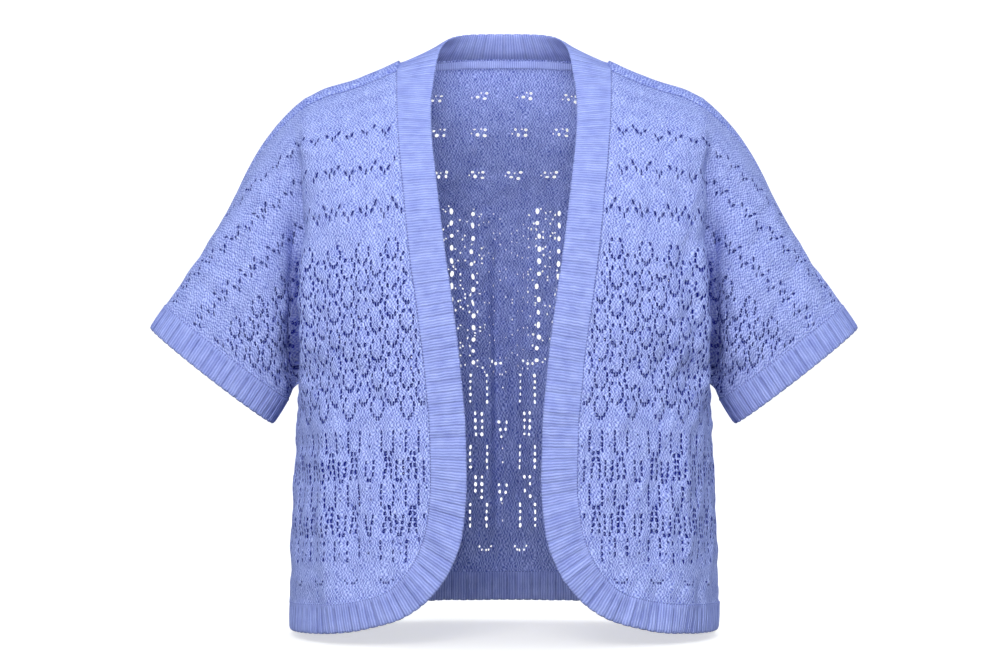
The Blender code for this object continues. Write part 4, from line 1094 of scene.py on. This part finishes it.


# A strip between its seam and its free edge, its ribs pitch apart and its outer face turned away
# from a point; grooveShade says how dark the painted shade in its grooves is.
def ribbedStrip(spec, seam, edge, awayFrom, pitch, grooveShade):
    middle, closed = (seam + edge) / 2, spec.get("closed", False)
    if closed:
        seam, edge, middle = (np.concatenate([line, line[:1]]) for line in (seam, edge, middle))
    step = np.linalg.norm(np.diff(middle, axis=0), axis=1)
    pitch, grooveShade = (np.broadcast_to(line, len(middle)) for line in (pitch, grooveShade))
    turns = np.concatenate([[0], np.cumsum(step / (0.5 * (pitch[1:] + pitch[:-1])))])
    length = np.concatenate([[0], np.cumsum(step)])
    ribs = int(round(turns[-1]))
    phase = np.linspace(0, ribs, ribs * strip["perRib"] + 1)
    at = phase * turns[-1] / ribs
    seam = np.stack([np.interp(at, turns, seam[:, k]) for k in range(3)], -1)
    edge = np.stack([np.interp(at, turns, edge[:, k]) for k in range(3)], -1)
    along, grooveShade = (np.interp(at, turns, line) for line in (length, grooveShade))
    if closed:
        seam, edge, phase, along, grooveShade = (line[:-1] for line in (seam, edge, phase, along, grooveShade))
    way = (np.roll(seam, -1, 0) - np.roll(seam, 1, 0)) if closed else np.gradient(seam, axis=0)
    across = edge - seam
    width = np.linalg.norm(across, axis=1)
    normal = smoothAlong(np.cross(way, across), closed)
    normal /= np.linalg.norm(normal, axis=1, keepdims=True)
    normal *= np.sign(((middle.mean(0) - awayFrom) * normal[len(normal) // 2]).sum() or 1)
    outward = ((seam + edge) / 2 - awayFrom) * normal
    if outward.sum() < 0:
        normal = -normal
    rib = 1 - np.exp(-((np.minimum(phase % 1, 1 - phase % 1) / strip["groove"]) ** 2))
    much, often = strip["grooveUneven"]
    # Painted shade in the rib grooves.
    depth = grooveShade * (1 - rib) * (1 + much * np.sin(np.round(phase) * often))
    uneven = 1 + sum(much * np.sin(phase * often + start) for much, often, start in strip["uneven"])
    foot, loss = strip["foot"]
    loops, flat, shade = [], [], []
    for share, ribShare, height in strip["outer"] + strip["inner"]:
        outerFace = (share, ribShare, height) in strip["outer"]
        reach = share * strip["lip"] / width if share < 0 else share
        inward = strip["scallop"] * (rib - 1) / width
        reach = reach + inward * smoothstep((share - strip["scallopFrom"]) / (1 - strip["scallopFrom"]))
        rise = height + strip["raise"] * ribShare * (rib * uneven - (0.0 if outerFace else 1.0))
        loops.append(seam + across * reach[:, None] + normal * rise[:, None])
        flat.append(np.stack([along, reach * width], -1))
        dark = depth * min(1.0, 2 * abs(ribShare)) * (foot - loss * share)
        shade.append(dark ** (1 / paintedShadePower))
    points, flat, shade = np.stack(loops, 1), np.stack(flat, 1), np.stack(shade, 1)
    count, around = points.shape[:2]
    faces = []
    for i in range(count if closed else count - 1):
        for k in range(around):
            here, there, after = i * around, (i + 1) % count * around, (k + 1) % around
            faces.append((here + k, here + after, there + after, there + k))
    if not closed:
        faces.append(tuple(range(around)))
        faces.append(tuple(range(count * around - 1, (count - 1) * around - 1, -1)))
    print(spec["name"], count * around, "points", ribs, "ribs")
    points, flat, shade = points.reshape(-1, 3), flat.reshape(-1, 2), shade.ravel()
    return meshObject(spec["name"], points, faces, flat, shade, ribYarn)


# Yarn: knitted loops drawn in the surface itself, with painted shade in their grooves and painted
# highlight on their crests.
def mathNode(tree, operation, first, second=0.0):
    node = tree.nodes.new("ShaderNodeMath")
    node.operation = operation
    for socket, value in zip(node.inputs, (first, second)):
        if isinstance(value, (int, float)):
            socket.default_value = value
        else:
            tree.links.new(value, socket)
    return node.outputs[0]


def mixNode(tree, share, first, second):
    node = tree.nodes.new("ShaderNodeMix")
    node.data_type = "RGBA"
    sockets = node.inputs[0], node.inputs[6], node.inputs[7]
    for socket, value in zip(sockets, (share, first, second)):
        if hasattr(value, "is_linked"):
            tree.links.new(value, socket)
        else:
            socket.default_value = value
    return node.outputs[2]


def noiseNode(tree, place, scale, detail=2.0):
    node = tree.nodes.new("ShaderNodeTexNoise")
    node.inputs["Scale"].default_value = scale
    node.inputs["Detail"].default_value = detail
    tree.links.new(place, node.inputs["Vector"])
    return node.outputs["Fac"]


yarn = {
    # groove and crest: the yarn's colour from painted shade in the stitches' grooves to painted
    # highlight on their crests
    "groove": (0.085, 0.115, 0.470, 1.0),
    "crest": (0.485, 0.565, 0.940, 1.0),
    # deep: the painted shade colour that gap rims, seams, rib grooves, the sleeve fold and the linking
    # dots are mixed towards
    "deep": (0.008, 0.014, 0.200, 1.0),
    "acrossScale": 130.0, "downScale": 170.0,  # the noise that shifts the stitches
    "patchScale": 75.0, "patches": 0.5,
    "fuzzScale": 1500.0, "fuzz": 0.4,
    "bumpStrength": 0.8,
    "finish": {
        "Roughness": 0.9, "Specular IOR Level": 0.06, "Sheen Weight": 0.03, "Sheen Roughness": 0.5,
    },
}
# The linking stitches: a line of small holes along a strip's seam, drawn as dots of painted shade.
linking = {"pitch": 0.0036, "half": 0.24, "above": 0.0010, "halfHeight": 0.0006, "dark": 0.45}
# Seed stitch in the lace, whose stitches stand between those of the row above; plain wales in
# the ribs. Pitch across and down, height, and how far the colour follows it as painted shade and
# highlight.
knits = {
    "lace": {
        "wale": 0.0032, "course": 0.00544, "bump": 0.0009, "drift": 0.0086,
        "contrast": 0.95, "through": 0.03, "level": 0.55,
    },
    "rib": {
        "wale": 0.0027, "course": 0.0, "bump": 0.0005, "drift": 0.0016,
        "contrast": 0.36, "through": 0.05, "level": 0.50,
    },
    "tape": {
        "wale": 0.0020, "course": 0.0, "bump": 0.0003, "drift": 0.0016,
        "contrast": 0.4, "through": 0.05, "level": 0.55,
    },
}
# The back's yarn: a darker, bluer copy of the lace yarn, as painted shade for the inside of the
# garment.
knits["laceBack"] = dict(
    knits["lace"], level=0.50, groove=(0.078, 0.111, 0.485, 1.0), crest=(0.478, 0.562, 0.955, 1.0)
)


def knitMaterial(name, kind, dots=False):
    spec = dict(yarn, **knits[kind])
    material = bpy.data.materials.new(name)
    material.use_nodes = True
    tree = material.node_tree
    shader = tree.nodes["Principled BSDF"]
    cloth = tree.nodes.new("ShaderNodeUVMap")
    cloth.uv_map = "cloth"
    place = cloth.outputs["UV"]
    parts = tree.nodes.new("ShaderNodeSeparateXYZ")
    tree.links.new(place, parts.inputs[0])

    def spread(value, amount):  # a value about its middle, times an amount
        return mathNode(tree, "MULTIPLY", mathNode(tree, "SUBTRACT", value, 0.5), amount)

    def stitches(axis, scale, detail, pitch):
        drift = spread(noiseNode(tree, place, scale, detail), spec["drift"])
        at = mathNode(tree, "ADD", parts.outputs[axis], drift)
        return mathNode(tree, "COSINE", mathNode(tree, "MULTIPLY", at, 2 * math.pi / pitch))

    wale = stitches(0, spec["acrossScale"], 2.0, spec["wale"])
    if spec["course"]:
        wale = mathNode(tree, "MULTIPLY", wale, stitches(1, spec["downScale"], 4.0, spec["course"]))
    height = mathNode(tree, "MULTIPLY_ADD", wale, 0.5)
    height.node.inputs[2].default_value = 0.5
    patchy = noiseNode(tree, place, spec["patchScale"], 3.0)
    fuzzy = noiseNode(tree, place, spec["fuzzScale"])
    # The colour follows the stitch height as painted shade and highlight, plus random patches and fuzz
    # in the yarn's own tone.
    light = mathNode(tree, "ADD", spread(height, spec["contrast"]), spec["level"])
    light = mathNode(tree, "ADD", light, spread(patchy, spec["patches"]))
    light = mathNode(tree, "ADD", light, spread(fuzzy, spec["fuzz"]))
    colour = mixNode(tree, light, spec["groove"], spec["crest"])
    # Painted shade: the per-point attribute darkens the colour towards deep.
    paintedShade = tree.nodes.new("ShaderNodeAttribute")
    paintedShade.attribute_name = "paintedShade"
    shadeShare = mathNode(tree, "POWER", paintedShade.outputs["Fac"], paintedShadePower)
    colour = mixNode(tree, shadeShare, colour, spec["deep"])
    # The linking stitches' small holes, drawn as dots of painted shade.
    if dots:
        along = mathNode(tree, "FRACT", mathNode(tree, "DIVIDE", parts.outputs[0], linking["pitch"]))
        along = mathNode(tree, "ABSOLUTE", mathNode(tree, "SUBTRACT", along, 0.5))
        off = mathNode(tree, "ABSOLUTE", mathNode(tree, "ADD", parts.outputs[1], linking["above"]))
        dot = mathNode(
            tree, "MULTIPLY",
            mathNode(tree, "LESS_THAN", along, linking["half"]),
            mathNode(tree, "LESS_THAN", off, linking["halfHeight"]),
        )
        colour = mixNode(tree, mathNode(tree, "MULTIPLY", dot, linking["dark"]), colour, spec["deep"])
    tree.links.new(colour, shader.inputs["Base Color"])
    for socket, value in spec["finish"].items():
        shader.inputs[socket].default_value = value
    bump = tree.nodes.new("ShaderNodeBump")
    bump.inputs["Strength"].default_value = spec["bumpStrength"]
    bump.inputs["Distance"].default_value = spec["bump"]
    tree.links.new(height, bump.inputs["Height"])
    tree.links.new(bump.outputs["Normal"], shader.inputs["Normal"])
    through = tree.nodes.new("ShaderNodeBsdfTranslucent")
    tree.links.new(colour, through.inputs["Color"])
    both = tree.nodes.new("ShaderNodeMixShader")
    both.inputs[0].default_value = spec["through"]
    tree.links.new(shader.outputs[0], both.inputs[1])
    tree.links.new(through.outputs[0], both.inputs[2])
    tree.links.new(both.outputs[0], tree.nodes["Material Output"].inputs["Surface"])
    return material


laceYarn = knitMaterial("laceYarn", "lace")
laceBackShadedYarn = knitMaterial("laceBackShadedYarn", "laceBack")
ribYarn = knitMaterial("ribYarn", "rib", dots=True)
tapeYarn = knitMaterial("tapeYarn", "tape")
print("yarns made")


# The pieces.
def place(piece, spec):
    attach(piece, "root")
    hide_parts(spec["node"])


frontLeft = {
    "name": "laceFrontLeft", "node": "front_left", "slot": "front_knit",
    "panel": "front", "hand": 1, "seed": 5,
    "flat": (0.386, 0.557), "area": 0.1375, "held": "hung",
}
place(lacePiece(frontLeft, laceYarn), frontLeft)

frontRight = {
    "name": "laceFrontRight", "node": "front_right", "slot": "front_knit",
    "panel": "front", "hand": -1, "seed": 6,
    "flat": (0.386, 0.557), "area": 0.1375, "held": "hung",
}
place(lacePiece(frontRight, laceYarn), frontRight)

back = {
    "name": "laceBack", "node": "back", "slot": "back_knit",
    "panel": "back", "hand": 1, "seed": 7,
    "flat": (1.023, 0.557), "area": 0.3740, "held": "hung",
}
place(lacePiece(back, laceBackShadedYarn), back)

for hand, side in ((1, "Left"), (-1, "Right")):
    band = {
        "name": "ribBand" + side, "node": "band_" + side.lower(), "slot": "band_rib",
        "flat": (0.046, 0.911), "area": 0.0315, "held": "hung",
        "pitch": {"front": 0.0105, "hem": 0.0085},
        "grooveShade": {"front": 0.10, "hem": 0.22, "neck": 0.10},  # hem and neck add to the front's
        "hem": (-0.43, 0.08), "neck": (0.01, 0.03),  # where they begin, and over what distance
        "awayFrom": (0.0, 0.0, -0.25),
    }
    line = bandLine if hand > 0 else bandLines(-1)
    (hemFrom, hemOver), (neckFrom, neckOver) = band["hem"], band["neck"]
    hemShare = smoothstep((hemFrom - line["seam"][:, 2]) / hemOver)
    neckShare = smoothstep((line["seam"][:, 1] - neckFrom) / neckOver)
    pitch = band["pitch"]["front"] + (band["pitch"]["hem"] - band["pitch"]["front"]) * hemShare
    dark = band["grooveShade"]
    grooveShade = dark["front"] + dark["hem"] * hemShare + dark["neck"] * neckShare
    place(ribbedStrip(band, line["seam"], line["edge"], band["awayFrom"], pitch, grooveShade), band)

backHem = {
    "name": "ribBackHem", "node": "back_hem", "slot": "hem_rib",
    "flat": (0.567, 0.031), "area": 0.0173, "held": "hung",
    "pitch": 0.0085, "grooveShade": 0.32, "awayFrom": (0, 0, -0.55), "points": 900,
}
hemQ = np.linspace(-1, 1, backHem["points"])
hemLines = [surfacePoint("back", hemQ, np.full(len(hemQ), v)) for v in (hemSeam, hemEdge)]
hemStrip = ribbedStrip(backHem, *hemLines, backHem["awayFrom"], backHem["pitch"], backHem["grooveShade"])
place(hemStrip, backHem)

for hand, side in ((1, "Left"), (-1, "Right")):
    cuff = {
        "name": "ribCuff" + side, "node": "cuff_" + side.lower(), "slot": "cuff_rib",
        "flat": (0.385, 0.030), "area": 0.0115, "held": "hung",
        "pitch": 0.0087, "grooveShade": 0.32, "closed": True, "points": 600,
    }
    arc = np.linspace(-1, 1, cuff["points"] + 1)[:-1] * ellipseAngle(cuffSeam, 0.0)[1]
    angle = ellipseAngle(cuffSeam, arc)[0]
    lines = [ringPoint(ring, angle) * (hand, 1, 1) for ring in (cuffSeam, cuffEdge)]
    middle = (lines[0].mean(0) + lines[1].mean(0)) / 2
    place(ribbedStrip(cuff, *lines, middle, cuff["pitch"], cuff["grooveShade"]), cuff)

tape = {  # over the neck seam, inside
    "name": "neckTapeStrip", "node": "neck_tape", "slot": "neck_tape",
    "flat": (0.197, 0.0100), "area": 0.00152, "held": "hung",
    "rows": (0.0018, 0.0095),  # its top and bottom below the neck seam
    "faces": (0.0019, 0.0030),  # how far inside the back's outer face
    "rounded": 0.0003, "reach": 0.93, "points": 241, "perFace": 6,
}


def tapePiece(spec):
    reach = np.linspace(neckReach * spec["reach"], -neckReach * spec["reach"], spec["points"])
    q = np.sign(reach) * arcQOf(np.abs(reach))
    perFace, around = spec["perFace"], 2 * spec["perFace"]
    rows = np.linspace(*spec["rows"], perFace)
    faceRows = rows, np.linspace(*spec["rows"][::-1], perFace)
    loops, flat = [], []
    for off, inward, downs in zip(spec["faces"], (1, -1), faceRows):
        for k, down in enumerate(downs):
            v = neckAt("cloth", np.abs(reach)) + down
            deep = off + inward * spec["rounded"] * (k in (0, perFace - 1))
            loops.append(surfacePoint("back", q, v) - clothNormal("back", q, v) * deep)
            flat.append(np.stack([reach, np.full(len(q), down)], -1))
    faces = []
    for i in range(len(reach) - 1):
        for k in range(around):
            a, b = i * around + k, i * around + (k + 1) % around
            faces.append((a, b, b + around, a + around))
    last = len(reach) * around
    faces += [tuple(range(around)), tuple(range(last - 1, last - around - 1, -1))]
    points, flat = np.stack(loops, 1).reshape(-1, 3), np.stack(flat, 1).reshape(-1, 2)
    return meshObject(spec["name"], points, faces, flat, np.zeros(last), tapeYarn)


place(tapePiece(tape), tape)
print("pieces placed")


# The room: pale floor, soft light.
room = {
    "roughness": 0.9,
    "floor": {"height": -0.567, "half": 30, "far": 60, "colour": (0.62, 0.60, 0.57), "glow": 0.56},
    "wall": {
        "round": 14, "from": -1.0, "to": 14.0, "sides": 64, "colour": (0.2, 0.2, 0.2), "glow": 1.0,
    },
    "sky": {"colour": (0.80, 0.89, 1.0, 1), "rise": (-0.40, 0.45), "strength": (0.08, 0.95)},
}
daylight = {"colour": (1.0, 0.98, 0.94), "to": (0, 0, -0.27)}
lamps = {
    "key": {**daylight, "at": (-0.4, -2.6, 1.2), "size": 1.2, "power": 39.0},
    "low": {**daylight, "at": (0.1, -3.0, -0.48), "size": 0.8, "power": 17.0},
    "lowLeft": {**daylight, "at": (-1.7, -2.4, -0.48), "size": 0.8, "power": 23.5},
    "lowRight": {**daylight, "at": (1.7, -2.4, -0.48), "size": 0.8, "power": 26.0},
    "rear": {**daylight, "at": (0.9, 2.8, 1.3), "size": 1.2, "power": 26.0},
    "neck": {
        "colour": (1.0, 1.0, 1.0), "to": (0, 0.1, 0.055), "at": (0, -1.25, -0.55), "power": 52.0,
        "spot": 0.20, "blend": 1.0, "soft": 0.08,
    },
}
view = {"lens": 89.3, "sensor": 36.0, "at": (0, -2.5, -0.27), "turn": (math.pi / 2, 0, 0)}


def plainMaterial(name, spec):
    material = bpy.data.materials.new(name)
    material.use_nodes = True
    shader = material.node_tree.nodes["Principled BSDF"]
    shader.inputs["Base Color"].default_value = (*spec["colour"], 1.0)
    shader.inputs["Roughness"].default_value = room["roughness"]
    shader.inputs["Emission Color"].default_value = (1, 1, 1, 1)
    shader.inputs["Emission Strength"].default_value = spec["glow"]
    return material


def roomObject(name, points, faces, spec):
    mesh = bpy.data.meshes.new(name)
    mesh.from_pydata(points, [], faces)
    mesh.materials.append(plainMaterial(name, spec))
    side = bpy.data.objects.new(name, mesh)
    side.visible_diffuse = False  # it doesn't throw light up into the garment
    bpy.context.scene.collection.objects.link(side)
    return side


half, far = room["floor"]["half"], room["floor"]["far"]
floorPoints = [(-half, -half, 0), (half, -half, 0), (half, far, 0), (-half, far, 0)]
floor = roomObject("paleFloor", floorPoints, [(0, 1, 2, 3)], room["floor"])
floor.location = (0, 0, room["floor"]["height"])
radius, sides = room["wall"]["round"], room["wall"]["sides"]
turns = np.linspace(0, 2 * math.pi, sides, endpoint=False)
heights = room["wall"]["from"], room["wall"]["to"]
wallPoints = [(radius * math.cos(t), radius * math.sin(t), z) for z in heights for t in turns]
wallFaces = [(k, (k + 1) % sides, (k + 1) % sides + sides, k + sides) for k in range(sides)]
roomObject("paleWall", wallPoints, wallFaces, room["wall"])

world = bpy.data.worlds.new("softRoom")
bpy.context.scene.world = world
world.use_nodes = True
sky = world.node_tree
heading = sky.nodes.new("ShaderNodeTexCoord")
rise = sky.nodes.new("ShaderNodeSeparateXYZ")
sky.links.new(heading.outputs["Generated"], rise.inputs[0])
glow = sky.nodes.new("ShaderNodeMapRange")
glow.interpolation_type = "SMOOTHSTEP"
for k, value in enumerate(room["sky"]["rise"] + room["sky"]["strength"]):
    glow.inputs[k + 1].default_value = value
sky.links.new(rise.outputs[2], glow.inputs[0])
sky.nodes["Background"].inputs["Color"].default_value = room["sky"]["colour"]
sky.links.new(glow.outputs[0], sky.nodes["Background"].inputs["Strength"])

for name, spec in lamps.items():
    lamp = bpy.data.lights.new(name, "SPOT" if "spot" in spec else "AREA")
    lamp.energy, lamp.color = spec["power"], spec["colour"]
    if "spot" in spec:
        lamp.spot_size, lamp.spot_blend = spec["spot"], spec["blend"]
        lamp.shadow_soft_size = spec["soft"]
    else:
        lamp.size = spec["size"]
    holder = bpy.data.objects.new(name, lamp)
    holder.location = spec["at"]
    aim = Vector(spec["to"]) - Vector(spec["at"])
    holder.rotation_euler = aim.to_track_quat("-Z", "Y").to_euler()
    bpy.context.scene.collection.objects.link(holder)

eye = bpy.data.cameras.new("eye")
eye.lens, eye.sensor_width = view["lens"], view["sensor"]
camera = bpy.data.objects.new("eye", eye)
camera.location, camera.rotation_euler = view["at"], view["turn"]
bpy.context.scene.collection.objects.link(camera)
bpy.context.scene.camera = camera
bpy.context.scene.view_settings.view_transform = "Standard"
print("room ready")
